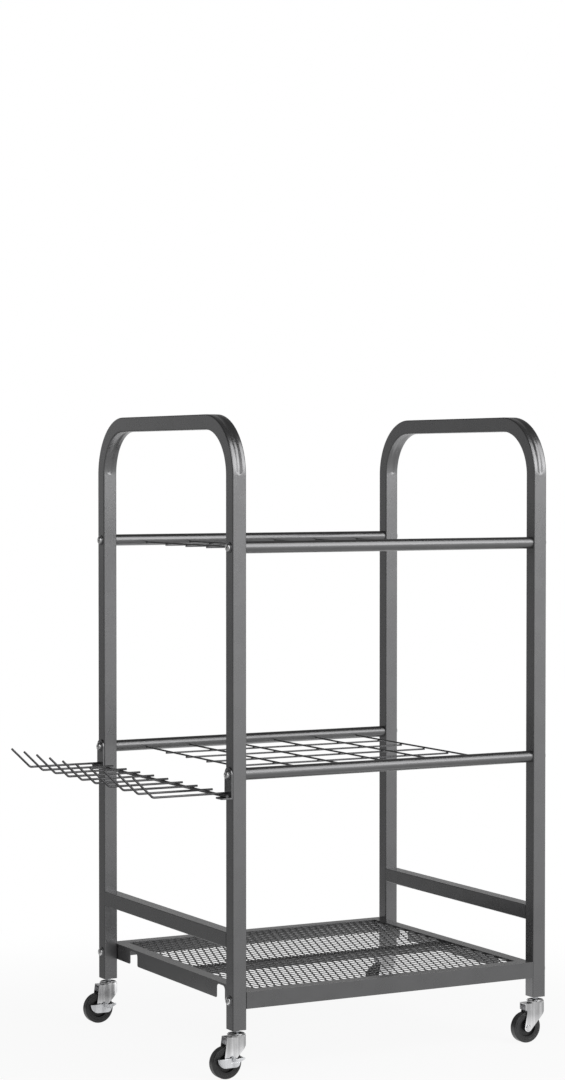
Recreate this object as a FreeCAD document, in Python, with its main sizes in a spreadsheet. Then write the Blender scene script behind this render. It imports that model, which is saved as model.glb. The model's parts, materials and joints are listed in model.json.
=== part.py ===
import FreeCAD, Part
import Sketcher
import math
import os

# Freestanding rack for long-handled garden tools, on four swivel casters.
# Millimetres. +X is the rack's right, +Y its back, +Z up; Z = 0 is the ground under the wheels,
# and X = Y = 0 is the middle of the box that the whole rack fills.

SIZES = {
    # two side frames, each one bent square tube
    "frame_width": 482,            # over the outer faces of both side frames
    "frame_depth": 417,            # over the front and back legs
    "frame_height": 857,           # ground to the top of the side frames
    "leg_foot_height": 62.3,       # ground to the open end of a leg
    "tube_side": 20,
    "tube_wall": 1.2,
    "tube_corner": 1.6,            # outer corner radius of the square tube
    "bend_radius": 70,             # centre line of the bend at the top of a leg
    "dent_width": 13,              # hollows that the bending leaves in the outer and inner walls
    "dent_depth": 1.4,
    "crossbar_height": 177.2,      # ground to the middle of the low bar between two legs
    # four round rails between the side frames
    "rail_diameter": 16,
    "rail_wall": 1,
    "upper_rail_height": 684.8,
    "middle_rail_height": 392.3,
    "insert_length": 16,           # threaded plug in each rail end
    # wire grids that keep the handles apart
    "grid_wire_diameter": 2.5,
    "grid_wire_drop": 3.4,         # depth wires lie this far below the middle of the rails
    "depth_wire_pitch": 69,
    "depth_wire_count": 6,
    "cross_wire_count": 5,
    # screws through the legs
    "screw_diameter": 6,
    "screw_fit_gap": 0.05,         # all round a screw in its thread
    "screw_hole_gap": 0.2,         # all round a screw in a leg
    "screw_head_diameter": 10.5,
    "screw_head_height": 3.2,
    "screw_socket_width": 4,       # across the flats of the hexagon socket
    "screw_socket_depth": 1.8,
    "rail_screw_length": 36,
    "tray_screw_length": 28,
    "washer_diameter": 14,
    "washer_thickness": 1,
    "nut_width": 10,               # across the flats
    "nut_thickness": 5,
    # sheet-metal tray with a mesh floor
    "tray_top_height": 111.3,
    "tray_apron": 22,              # height of the skirt all round
    "tray_sheet": 1,
    "tray_rim": 18,                # flat border round the mesh
    "tray_lip": 3.5,               # inner edge of the rim, turned down
    "tray_screw_height": 100,
    "notch_middle": 74,            # front or back face of the tray to the middle of a notch
    "notch_width": 24,
    "notch_height": 19,
    "notch_corner": 6,
    "notch_foot": 3,
    "mesh_sheet": 1,
    "mesh_tuck": 6,                # mesh that reaches in under the rim
    "mesh_strand": 2.2,
    "mesh_cells_across": 21,
    "mesh_cells_deep": 7,
    "stiffener_width": 16,
    "stiffener_height": 10,
    # rack of wire hooks on the left side frame
    "hook_wire_diameter": 3,
    "hook_count": 10,
    "hook_drop": 23.2,             # bracket screws to the middle of the level wires
    "hook_reach": 109,             # side frame to the corner of a hook
    "hook_tip_length": 38.8,       # corner to the free end
    "hook_tip_angle": 44,
    "hook_bend_radius": 6,
    "hook_bar_diameter": 4,
    "hook_bar_offset": 8,
    "bracket_thickness": 2,
    "bracket_foot_reach": 16,
    "bracket_foot_corner": 4,
    # casters
    "wheel_diameter": 42,
    "wheel_width": 12.6,
    "tyre_edge": 1.6,              # round shoulder of the tread
    "tyre_bore": 29.6,
    "tyre_ring_diameter": 35.6,    # raised ring on each side of the tyre
    "tyre_ring_width": 1.2,
    "tyre_ring_rise": 0.6,
    "hub_boss_diameter": 10,
    "hub_web": 4.2,
    "hub_rim_wall": 2.4,
    "hub_inset": 0.8,              # hub rim and the slope of its walls, in from the tyre's sides
    "hub_boss_play": 0.1,
    "wheel_trail": 16,             # swivel axis to axle
    "axle_diameter": 5,
    "axle_head_diameter": 7.6,
    "rivet_head": 1.2,             # thickness of a rivet head
    "running_gap": 0.05,           # all round a shaft in its bearing
    "fork_width": 16,
    "fork_sheet": 1.2,
    "fork_top_height": 54,
    "fork_nose": 5,                # swivel axis to the middle of the round nose
    "fork_back": 20,               # swivel axis to the back of the cheeks
    "braked_fork_back": 17,
    "fork_eye_radius": 5.6,
    "fork_slope": 46.4,
    "fork_shoulder": 9,            # height of the wider band at the top of the cheeks
    "fork_waist": 2.5,
    "stem_diameter": 8,
    "stem_length": 25,             # stem inside the leg
    "stem_foot_radius": 6,
    "stem_foot_thickness": 1.3,
    "socket_length": 28,
    "race_diameter": 24,
    "race_top_height": 57.6,       # ground to the rolled rim of the race
    "race_rim": 2.2,               # width of the rolled rim
    "race_dish": 1,                # rim down to the dished face inside it
    "race_sheet": 1,
    "bearing_inner": 6,
    "bearing_outer": 10,
    "bearing_gap": 0.1,
    # wheel brake on the two left casters
    "brake_pivot_forward": 7,      # axle to the lever's rivet
    "brake_pivot_rise": 5,
    "brake_standoff": 1.5,         # fork cheek to the lever
    "brake_sheet": 1.2,
    "pedal_back": 15.5,
    "pedal_front": 16.5,
    "pedal_drop": 5.8,
    "pedal_rise": 6.6,
    "pedal_toe": 6,
    "pedal_border": 1,             # lever left bare round the raised tread
    "pedal_tread": 1.5,
    "brake_rivet_diameter": 3.6,
    "brake_ear": 1.9,              # lever all round its rivet
    "brake_spacer": 1.4,           # collar of the rivet all round its shank
    "tread_clearance": 0.6,        # raised tread to the lever's ear
    "brake_bar_diameter": 2,
    "brake_bar_gap": 0.9,          # tread to bar with the brake off
    "brake_bar_rise": 4.8,
    "brake_bar_eye": 0.5,          # arm of the lever all round the bar
    "brake_bar_length": 14.7,
}


class Size:
    """A length that knows its expression in the sheet as well as its value."""

    def __init__(self, text, value):
        self.text = text
        self.value = value

    def join(self, sign, other, value):
        return Size("(" + self.text + " " + sign + " " + wording(other) + ")", value)

    def __add__(self, other):
        return self.join("+", other, self.value + amount(other))

    def __radd__(self, other):
        return self + other

    def __sub__(self, other):
        return self.join("-", other, self.value - amount(other))

    def __rsub__(self, other):
        return self * -1 + other

    def __mul__(self, other):
        return self.join("*", other, self.value * amount(other))

    def __rmul__(self, other):
        return self * other

    def __truediv__(self, other):
        return self.join("/", other, self.value / amount(other))

    def __neg__(self):
        return self * -1


def amount(length):
    return length.value if isinstance(length, Size) else float(length)


def wording(length):
    return length.text if isinstance(length, Size) else "(" + repr(float(length)) + ")"


def function_of(name, length, value):
    return Size(name + "(" + wording(length) + ")", value)


def sine(angle):
    return function_of("sin", angle, math.sin(math.radians(amount(angle))))


def cosine(angle):
    return function_of("cos", angle, math.cos(math.radians(amount(angle))))


def tangent(angle):
    return function_of("tan", angle, math.tan(math.radians(amount(angle))))


def root(square):
    return function_of("sqrt", square, math.sqrt(amount(square)))


def size(name):
    return Size("Sizes." + name, float(SIZES[name]))


doc = FreeCAD.newDocument("garden_tool_rack")
sheet = doc.addObject("Spreadsheet::Sheet", "Sizes")
for row, (alias, number) in enumerate(SIZES.items(), start=1):
    sheet.set("A" + str(row), alias)
    sheet.set("B" + str(row), str(number))
    sheet.setAlias("B" + str(row), alias)
doc.recompute()

# Shared lengths and places
TUBE = size("tube_side")
HALF = TUBE / 2
TUBE_WALL = size("tube_wall")
SHEET = size("tray_sheet")
SCREW = size("screw_diameter") / 2
WASHER = size("washer_thickness")
RAIL = size("rail_diameter") / 2
HOOK_WIRE = size("hook_wire_diameter") / 2
HOOK_HEIGHT = size("middle_rail_height") - size("hook_drop")
HOOK_ANGLE = size("hook_tip_angle")
BRACKET = size("bracket_thickness")

HEAD_OUT = WASHER + size("screw_head_height")
TIP_OUT = (size("hook_reach") + size("hook_tip_length") * cosine(HOOK_ANGLE)
           + HOOK_WIRE * sine(HOOK_ANGLE))
MID_X = (TIP_OUT - HEAD_OUT) / 2
LEFT = MID_X - size("frame_width") / 2
RIGHT = MID_X + size("frame_width") / 2
INNER_LEFT = LEFT + TUBE
INNER_RIGHT = RIGHT - TUBE
CLEAR_WIDTH = size("frame_width") - TUBE * 2

FORK_HALF = size("fork_width") / 2
LEVER_INNER = FORK_HALF + size("brake_standoff")
LEVER_OUTER = LEVER_INNER + size("brake_sheet")
PEDAL_OUT = LEVER_OUTER + size("pedal_tread") - HALF
RACE_OUT = size("race_diameter") / 2 - HALF
MID_Y = (PEDAL_OUT - RACE_OUT) / 2
FRONT = MID_Y - size("frame_depth") / 2
BACK = MID_Y + size("frame_depth") / 2
LEG_Y = {"front": FRONT + HALF, "back": BACK - HALF}
LEG_X = {"left": LEFT + HALF, "right": RIGHT - HALF}

TOP = size("frame_height")
LEG_FOOT = size("leg_foot_height")
RAIL_HEIGHT = {"upper": size("upper_rail_height"), "middle": size("middle_rail_height")}
TRAY_TOP = size("tray_top_height")
TRAY_FOOT = TRAY_TOP - size("tray_apron")
MESH_TOP = TRAY_TOP - size("tray_lip")
MESH_FOOT = MESH_TOP - size("mesh_sheet")

# Directions that a turned piece can point
ALONG = {
    "right": FreeCAD.Rotation(),
    "left": FreeCAD.Rotation(FreeCAD.Vector(0, 0, 1), 180),
    "back": FreeCAD.Rotation(FreeCAD.Vector(0, 0, 1), 90),
    "up": FreeCAD.Rotation(FreeCAD.Vector(0, 1, 0), -90),
}
CYLINDER_ALONG = {
    "right": FreeCAD.Rotation(FreeCAD.Vector(0, 1, 0), 90),
    "back": FreeCAD.Rotation(FreeCAD.Vector(1, 0, 0), -90),
    "up": FreeCAD.Rotation(),
}

nodes = []


def bind(thing, item, length):
    """Tie one property of an object to the sheet."""
    thing.setExpression(item, wording(length))


def place(thing, x=0, y=0, z=0, rotation=None):
    thing.Placement = FreeCAD.Placement(
        FreeCAD.Vector(amount(x), amount(y), amount(z)), rotation or FreeCAD.Rotation())
    for letter, length in (("x", x), ("y", y), ("z", z)):
        bind(thing, ".Placement.Base." + letter, length)
    return thing


def keep(thing, label):
    """Name a finished sub-part: its label names its file."""
    thing.Label = label
    nodes.append(thing)
    return thing


# Sketches. A loop is a list of corners (x, y); a corner (x, y, radius, turn) leaves on an arc of
# that radius, which turns left for +1 and right for -1. A circle is ("circle", x, y, radius).

def arc_between(start, end, radius, turn):
    half = (end - start) / 2
    side = FreeCAD.Vector(-half.y, half.x, 0).normalize() * turn
    centre = start + half + side * math.sqrt(max(radius ** 2 - half.Length ** 2, 0))
    first, last = (start, end) if turn > 0 else (end, start)
    angles = [math.atan2(p.y - centre.y, p.x - centre.x) for p in (first, last)]
    if angles[1] < angles[0]:
        angles[1] += 2 * math.pi
    return Part.ArcOfCircle(Part.Circle(centre, FreeCAD.Vector(0, 0, 1), radius), *angles)


def constrain(sketch, kind, where, length):
    number = sketch.addConstraint(Sketcher.Constraint(kind, *where, amount(length)))
    bind(sketch, "Constraints[" + str(number) + "]", length)


def draw_circle(sketch, x, y, radius):
    centre = FreeCAD.Vector(amount(x), amount(y), 0)
    circle = sketch.addGeometry(Part.Circle(centre, FreeCAD.Vector(0, 0, 1), amount(radius)), False)
    constrain(sketch, "DistanceX", (circle, 3), x)
    constrain(sketch, "DistanceY", (circle, 3), y)
    constrain(sketch, "Radius", (circle,), radius)


def draw_loop(sketch, corners):
    points = [FreeCAD.Vector(amount(c[0]), amount(c[1]), 0) for c in corners]
    edges = []
    for i, corner in enumerate(corners):
        start, end = points[i], points[(i + 1) % len(points)]
        if len(corner) == 2:
            edge = sketch.addGeometry(Part.LineSegment(start, end), False)
            edges.append((edge, 1, 2))
        else:
            arc = arc_between(start, end, amount(corner[2]), corner[3])
            edge = sketch.addGeometry(arc, False)
            edges.append((edge, 1, 2) if corner[3] > 0 else (edge, 2, 1))
            constrain(sketch, "Radius", (edge,), corner[2])
    for i, (edge, first, last) in enumerate(edges):
        following = edges[(i + 1) % len(edges)]
        sketch.addConstraint(Sketcher.Constraint("Coincident", edge, last, following[0], following[1]))
        constrain(sketch, "DistanceX", (edge, first), corners[i][0])
        constrain(sketch, "DistanceY", (edge, first), corners[i][1])


def draw(sketch, loops):
    for loop in loops:
        if loop[0] == "circle":
            draw_circle(sketch, *loop[1:])
        else:
            draw_loop(sketch, loop)


def rectangle(x0, y0, x1, y1):
    return [(x0, y0), (x1, y0), (x1, y1), (x0, y1)]


def rounded_rectangle(x0, y0, x1, y1, radius):
    return [(x0 + radius, y0), (x1 - radius, y0, radius, 1),
            (x1, y0 + radius), (x1, y1 - radius, radius, 1),
            (x1 - radius, y1), (x0 + radius, y1, radius, 1),
            (x0, y1 - radius), (x0, y0 + radius, radius, 1)]


def square_tube(x, y):
    """Inner and outer outline of the square tube, centred on x, y."""
    inner = HALF - TUBE_WALL
    corner = size("tube_corner")
    return [rounded_rectangle(x - HALF, y - HALF, x + HALF, y + HALF, corner),
            rounded_rectangle(x - inner, y - inner, x + inner, y + inner, corner - TUBE_WALL)]


def dented_outline(x, y, half, corner, dent_half, dent_radius, outward):
    """Rounded square dished inwards on the side that faces y * outward and on the one opposite."""
    far = y + half * outward
    near = y - half * outward
    return [(x - dent_half, far, dent_radius, outward),
            (x + dent_half, far),
            (x + half - corner, far, corner, -outward),
            (x + half, far - corner * outward),
            (x + half, near + corner * outward, corner, -outward),
            (x + half - corner, near),
            (x + dent_half, near, dent_radius, outward),
            (x - dent_half, near),
            (x - half + corner, near, corner, -outward),
            (x - half, near + corner * outward),
            (x - half, far - corner * outward, corner, -outward),
            (x - half + corner, far)]


def dented_tube(x, y, outward):
    """Square tube as bending leaves it, with the outer and inner walls pulled in."""
    half_width = size("dent_width") / 2
    depth = size("dent_depth")
    corner = size("tube_corner")
    radius = (half_width * half_width + depth * depth) / (depth * 2)
    inner_reach = radius - depth + TUBE_WALL
    inner_radius = radius + TUBE_WALL
    inner_half = root(inner_radius * inner_radius - inner_reach * inner_reach)
    return [dented_outline(x, y, HALF, corner, half_width, radius, outward),
            dented_outline(x, y, HALF - TUBE_WALL, corner - TUBE_WALL, inner_half, inner_radius,
                           outward)]


# PartDesign pieces

def new_body(name):
    body = doc.addObject("PartDesign::Body", name)
    body.AllowCompound = True
    return body


def body_sketch(body, plane, loops, x=0, y=0, z=0):
    """Sketch on one of the body's own planes, moved by x, y, z in that plane's directions."""
    sketch = body.newObject("Sketcher::SketchObject", body.Name + "_sketch")
    support = [f for f in body.Origin.OriginFeatures if f.Role == plane][0]
    sketch.AttachmentSupport = [(support, "")]
    sketch.MapMode = "FlatFace"
    for letter, length in (("x", x), ("y", y), ("z", z)):
        bind(sketch, ".AttachmentOffset.Base." + letter, length)
    draw(sketch, loops)
    return sketch


def solid_feature(body, kind, sketch, length, backwards):
    feature = body.newObject("PartDesign::" + kind, body.Name + "_" + kind.lower())
    feature.Profile = sketch
    bind(feature, "Length", length)
    feature.Reversed = backwards
    body.Tip = feature
    return feature


def pad(body, sketch, length, backwards=False):
    return solid_feature(body, "Pad", sketch, length, backwards)


def pocket(body, sketch, length, backwards=False):
    return solid_feature(body, "Pocket", sketch, length, backwards)


def quarter_turn(body, sketch, backwards):
    """Turn a sketch by a quarter about its own horizontal axis."""
    feature = body.newObject("PartDesign::Revolution", body.Name + "_bend")
    feature.Profile = sketch
    feature.ReferenceAxis = (sketch, ["H_Axis"])
    feature.Angle = 90
    feature.Reversed = backwards
    body.Tip = feature
    return feature


# Part pieces

def cylinder(name, radius, length, x, y, z, direction):
    rod = doc.addObject("Part::Cylinder", name)
    bind(rod, "Radius", radius)
    bind(rod, "Height", length)
    return place(rod, x, y, z, CYLINDER_ALONG[direction])


def cut(name, base, tool):
    result = doc.addObject("Part::Cut", name)
    result.Base = base
    result.Tool = tool
    return result


def group(label, pieces):
    bundle = doc.addObject("Part::Compound", label)
    bundle.Links = pieces
    return keep(bundle, label)


def ring(name, outer, inner, length, x, y, z, direction):
    return cut(name,
               cylinder(name + "_outside", outer, length, x, y, z, direction),
               cylinder(name + "_bore", inner, length, x, y, z, direction))


def profile(name, loops):
    """Loose sketch in the ground plane, shared by pieces that are alike."""
    sketch = doc.addObject("Sketcher::SketchObject", name)
    draw(sketch, loops)
    return sketch


def turned(name, sketch, x, y, z, direction):
    """Turn a shared profile about its own X axis, which then points in the given direction."""
    piece = doc.addObject("Part::Revolution", name)
    piece.Source = sketch
    piece.Axis = FreeCAD.Vector(1, 0, 0)
    piece.Angle = 360
    piece.Solid = True
    return place(piece, x, y, z, ALONG[direction])


# Side frames and the bars between them

def bore_holes(body, x, length):
    """Screw holes through the legs or the tray, one at each screw's height."""
    gap = SCREW + size("screw_hole_gap")
    heights = [RAIL_HEIGHT["upper"], RAIL_HEIGHT["middle"], size("tray_screw_height")]
    holes = [("circle", y, z, gap) for y in LEG_Y.values() for z in heights]
    pocket(body, body_sketch(body, "YZ_Plane", holes, z=x), length, backwards=True)


def side_frame(label, x):
    """Square tube bent into an arch that is both legs and the top; x is its left face."""
    body = new_body(label)
    middle = x + HALF
    bend = size("bend_radius")
    outer_bend = bend + HALF
    bend_height = TOP - outer_bend
    leg_length = bend_height - LEG_FOOT
    front_leg = body_sketch(body, "XY_Plane", square_tube(middle, LEG_Y["front"]), z=LEG_FOOT)
    pad(body, front_leg, leg_length)
    front_bend = body_sketch(body, "XY_Plane", dented_tube(middle, -bend, -1),
                             y=FRONT + outer_bend, z=bend_height)
    quarter_turn(body, front_bend, backwards=True)
    top = body_sketch(body, "XZ_Plane", square_tube(middle, TOP - HALF), z=-(FRONT + outer_bend))
    pad(body, top, size("frame_depth") - outer_bend * 2, backwards=True)
    back_bend = body_sketch(body, "XY_Plane", dented_tube(middle, bend, 1),
                            y=BACK - outer_bend, z=bend_height)
    quarter_turn(body, back_bend, backwards=False)
    back_leg = body_sketch(body, "XY_Plane", square_tube(middle, LEG_Y["back"]), z=LEG_FOOT)
    pad(body, back_leg, leg_length)
    bore_holes(body, x - 1, TUBE + 2)
    return keep(body, label)


def crossbar(label, x):
    body = new_body(label)
    section = square_tube(x + HALF, size("crossbar_height"))
    pad(body, body_sketch(body, "XZ_Plane", section, z=-(BACK - TUBE)),
        size("frame_depth") - TUBE * 2)
    return keep(body, label)


def rail(label, y, z):
    body = new_body(label)
    section = [("circle", y, z, RAIL), ("circle", y, z, RAIL - size("rail_wall"))]
    pad(body, body_sketch(body, "YZ_Plane", section, z=INNER_LEFT), CLEAR_WIDTH)
    return keep(body, label)


def rail_inserts():
    length = size("insert_length")
    plugs = []
    for level, z in RAIL_HEIGHT.items():
        for depth, y in LEG_Y.items():
            for side, x in (("left", INNER_LEFT), ("right", INNER_RIGHT - length)):
                name = "insert_" + level + "_" + depth + "_" + side
                plugs.append(ring(name, RAIL - size("rail_wall"), SCREW + size("screw_fit_gap"),
                                  length, x, y, z, "right"))
    group("rail_end_inserts", plugs)


# Screws, washers and nuts

def screw_profile(name, length):
    """Button-head screw: its seat is at zero, the head on the left, the shank on the right."""
    head = size("screw_head_diameter") / 2
    height = size("screw_head_height")
    brim = height / 4
    return profile(name, [[
        (-height, 0), (-height, head / 2, head * 1.2, -1), (-brim, head), (0, head),
        (0, SCREW), (length, SCREW), (length, 0)]])


def screw(name, sketch, x, y, z, direction):
    """One screw with its hexagon socket; x, y, z is the middle of its seat."""
    depth = size("screw_socket_depth")
    height = size("screw_head_height")
    outward = -1 if direction == "right" else 1
    socket = doc.addObject("Part::Prism", name + "_socket")
    socket.Polygon = 6
    bind(socket, "Circumradius", size("screw_socket_width") / 2 / cosine(30))
    bind(socket, "Height", depth)
    deepest = x + (height - depth) * outward
    place(socket, deepest - depth if outward < 0 else deepest, y, z, CYLINDER_ALONG["right"])
    return cut(name, turned(name + "_blank", sketch, x, y, z, direction), socket)


def fasteners():
    rail_screw = screw_profile("rail_screw_profile", size("rail_screw_length"))
    tray_screw = screw_profile("tray_screw_profile", size("tray_screw_length"))
    hole = SCREW + size("screw_hole_gap")
    rail_screws, tray_screws, washers, nuts = [], [], [], []
    for depth, y in LEG_Y.items():
        for level, z in (*RAIL_HEIGHT.items(), ("tray", size("tray_screw_height"))):
            for side in ("left", "right"):
                name = level + "_" + depth + "_" + side
                under = BRACKET if (level, side) == ("middle", "left") else 0
                if side == "left":
                    seat = LEFT - under - WASHER
                    washer_x = seat
                    nut_x = INNER_LEFT + SHEET
                else:
                    seat = RIGHT + under + WASHER
                    washer_x = RIGHT + under
                    nut_x = INNER_RIGHT - SHEET - size("nut_thickness")
                washers.append(ring("washer_" + name, size("washer_diameter") / 2, hole,
                                    WASHER, washer_x, y, z, "right"))
                points = "right" if side == "left" else "left"
                if level == "tray":
                    tray_screws.append(screw("screw_" + name, tray_screw, seat, y, z, points))
                    nuts.append(hexagon_nut("nut_" + name, nut_x, y, z))
                else:
                    rail_screws.append(screw("screw_" + name, rail_screw, seat, y, z, points))
    group("rail_screws", rail_screws)
    group("tray_screws", tray_screws)
    group("screw_washers", washers)
    group("tray_nuts", nuts)


def hexagon_nut(name, x, y, z):
    blank = doc.addObject("Part::Prism", name + "_blank")
    blank.Polygon = 6
    bind(blank, "Circumradius", size("nut_width") / 2 / cosine(30))
    bind(blank, "Height", size("nut_thickness"))
    place(blank, x, y, z, CYLINDER_ALONG["right"])
    bore = cylinder(name + "_bore", SCREW + size("screw_fit_gap"), size("nut_thickness"),
                    x, y, z, "right")
    return cut(name, blank, bore)


# Wire grids between the rails

def wire_grid(level):
    """Depth wires butt against both rails; cross wires lie under them."""
    wire = size("grid_wire_diameter") / 2
    height = RAIL_HEIGHT[level] - size("grid_wire_drop")
    pitch = size("depth_wire_pitch")
    columns = SIZES["depth_wire_count"]
    rows = SIZES["cross_wire_count"]
    first_x = MID_X - pitch * ((columns - 1) / 2)
    rail_gap = size("frame_depth") - TUBE
    depth_wires = [cylinder(level + "_depth_wire_" + str(i), wire, rail_gap,
                            first_x + pitch * i, LEG_Y["front"], height, "back")
                   for i in range(columns)]
    bundle = doc.addObject("Part::Compound", level + "_depth_wire_blanks")
    bundle.Links = depth_wires
    rails = doc.addObject("Part::Compound", level + "_rail_cutters")
    rails.Links = [cylinder(level + "_rail_cutter_" + depth, RAIL, CLEAR_WIDTH, INNER_LEFT, y,
                            RAIL_HEIGHT[level], "right") for depth, y in LEG_Y.items()]
    keep(cut(level + "_grid_depth_wires", bundle, rails), level + "_grid_depth_wires")
    row_step = (rail_gap - RAIL * 2) / (rows + 1)
    first_y = LEG_Y["front"] + RAIL + row_step
    cross_wires = [cylinder(level + "_cross_wire_" + str(i), wire,
                            pitch * (columns - 1) + wire * 2, first_x - wire,
                            first_y + row_step * i, height - wire * 2, "right")
                   for i in range(rows)]
    group(level + "_grid_cross_wires", cross_wires)


# Tray

def notch(middle):
    """Arched notch in the lower edge of a tray side, with its foot rounded outwards."""
    half = size("notch_width") / 2
    corner = size("notch_corner")
    foot = size("notch_foot")
    left, right = middle - half, middle + half
    crown = TRAY_FOOT + size("notch_height")
    return [(left - foot, TRAY_FOOT, foot, 1), (left, TRAY_FOOT + foot),
            (left, crown - corner, corner, -1), (left + corner, crown),
            (right - corner, crown, corner, -1), (right, crown - corner),
            (right, TRAY_FOOT + foot, foot, 1), (right + foot, TRAY_FOOT)]


def tray_pan():
    """Pressed pan: skirt on four sides, flat rim on top and its inner edge turned down."""
    body = new_body("tray_pan")
    apron = size("tray_apron")
    lip = size("tray_lip")

    def outline(inset):
        return rectangle(INNER_LEFT + inset, FRONT + inset, INNER_RIGHT - inset, BACK - inset)

    rim = size("tray_rim")
    pad(body, body_sketch(body, "XY_Plane", [outline(Size("0", 0.0))], z=TRAY_FOOT), apron)
    pocket(body, body_sketch(body, "XY_Plane", [outline(SHEET)], z=TRAY_FOOT),
           apron - SHEET, backwards=True)
    pocket(body, body_sketch(body, "XY_Plane", [outline(rim)], z=TRAY_TOP), apron)
    pad(body, body_sketch(body, "XY_Plane", [outline(rim - SHEET), outline(rim)],
                          z=TRAY_TOP - lip), lip)
    middle = size("notch_middle")
    cuts = [notch(FRONT + middle), notch(BACK - middle)]
    pocket(body, body_sketch(body, "YZ_Plane", cuts, z=INNER_LEFT - 1), CLEAR_WIDTH + 2,
           backwards=True)
    gap = SCREW + size("screw_hole_gap")
    holes = [("circle", y, size("tray_screw_height"), gap) for y in LEG_Y.values()]
    pocket(body, body_sketch(body, "YZ_Plane", holes, z=INNER_LEFT - 1), CLEAR_WIDTH + 2,
           backwards=True)
    keep(body, "tray_pan")


def diamond(x, y, half_width, half_depth):
    corners = [FreeCAD.Vector(x + dx, y + dy, 0) for dx, dy in
               ((half_width, 0), (0, half_depth), (-half_width, 0), (0, -half_depth), (half_width, 0))]
    return Part.makePolygon(corners)


def mesh_floor():
    """Expanded-metal floor: one sheet with staggered rows of diamond openings."""
    border = size("tray_rim") - size("mesh_tuck")
    x0, x1 = amount(INNER_LEFT + border), amount(INNER_RIGHT - border)
    y0, y1 = amount(FRONT + border), amount(BACK - border)
    edge = amount(size("mesh_tuck")) + SIZES["mesh_strand"]
    across, deep = SIZES["mesh_cells_across"], SIZES["mesh_cells_deep"]
    step_x = (x1 - x0 - 2 * edge) / across
    step_y = (y1 - y0 - 2 * edge) / deep
    shrink = SIZES["mesh_strand"] / 2 * math.hypot(1 / step_x, 1 / step_y) * 2
    half_width = step_x / 2 * (1 - shrink)
    half_depth = step_y / 2 * (1 - shrink)
    outline = Part.makePolygon([FreeCAD.Vector(x, y, 0) for x, y in
                                ((x0, y0), (x1, y0), (x1, y1), (x0, y1), (x0, y0))])
    holes = []
    for row in range(2 * deep - 1):
        shift = 0.5 if row % 2 == 0 else 1.0
        for column in range(across if row % 2 == 0 else across - 1):
            holes.append(diamond(x0 + edge + step_x * (column + shift),
                                 y0 + edge + step_y * (row + 1) / 2, half_width, half_depth))
    face = Part.makeFace([outline] + holes, "Part::FaceMakerBullseye")
    mesh = doc.addObject("Part::Feature", "tray_mesh_floor")
    mesh.Shape = face.extrude(FreeCAD.Vector(0, 0, SIZES["mesh_sheet"]))
    place(mesh, 0, 0, MESH_FOOT)
    keep(mesh, "tray_mesh_floor")


def tray_stiffener():
    """Channel under the middle of the mesh, from side to side of the pan."""
    body = new_body("tray_stiffener")
    half = size("stiffener_width") / 2
    bottom = MESH_FOOT - size("stiffener_height")
    section = [(MID_Y - half, bottom), (MID_Y - half + SHEET, bottom),
               (MID_Y - half + SHEET, MESH_FOOT - SHEET), (MID_Y + half - SHEET, MESH_FOOT - SHEET),
               (MID_Y + half - SHEET, bottom), (MID_Y + half, bottom),
               (MID_Y + half, MESH_FOOT), (MID_Y - half, MESH_FOOT)]
    pad(body, body_sketch(body, "YZ_Plane", [section], z=INNER_LEFT + SHEET),
        CLEAR_WIDTH - SHEET * 2)
    keep(body, "tray_stiffener")


# Hook rack on the left side frame

def hook_wire(number, y):
    """Level wire whose free end turns up."""
    name = "hook_wire_" + str(number)
    height = HOOK_HEIGHT
    bend = size("hook_bend_radius")
    setback = bend * tangent(HOOK_ANGLE / 2)
    bend_x = LEFT - size("hook_reach") + setback
    level = cylinder(name + "_level", HOOK_WIRE, LEFT - BRACKET - bend_x,
                     bend_x, y, height, "right")
    corner = doc.addObject("Part::Torus", name + "_corner")
    bind(corner, "Radius1", bend)
    bind(corner, "Radius2", HOOK_WIRE)
    bind(corner, "Angle3", HOOK_ANGLE)
    place(corner, bend_x, y, height + bend,
          FreeCAD.Rotation(FreeCAD.Vector(0, 0, -1), FreeCAD.Vector(-1, 0, 0),
                           FreeCAD.Vector(0, 1, 0), "XYZ"))
    tip = doc.addObject("Part::Cylinder", name + "_tip")
    bind(tip, "Radius", HOOK_WIRE)
    bind(tip, "Height", size("hook_tip_length") - setback)
    place(tip, bend_x - bend * sine(HOOK_ANGLE), y, height + bend - bend * cosine(HOOK_ANGLE),
          FreeCAD.Rotation(FreeCAD.Vector(0, -1, 0), 90 - SIZES["hook_tip_angle"]))
    bind(tip, ".Placement.Rotation.Angle", 90 - HOOK_ANGLE)
    wire = doc.addObject("Part::MultiFuse", name)
    wire.Shapes = [level, corner, tip]
    return wire


def hook_rack():
    last = SIZES["hook_count"] - 1
    spacing = (LEG_Y["back"] - LEG_Y["front"]) / last
    group("hook_wires", [hook_wire(i, LEG_Y["front"] + spacing * i) for i in range(last + 1)])
    bar = size("hook_bar_diameter") / 2
    bar_height = HOOK_HEIGHT - HOOK_WIRE - bar
    keep(cylinder("hook_bar", bar, size("frame_depth"), LEFT - size("hook_bar_offset"), FRONT,
                  bar_height, "back"), "hook_bar")
    for depth, y in LEG_Y.items():
        hook_bracket("hook_bracket_" + depth, y, bar_height - bar)


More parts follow.
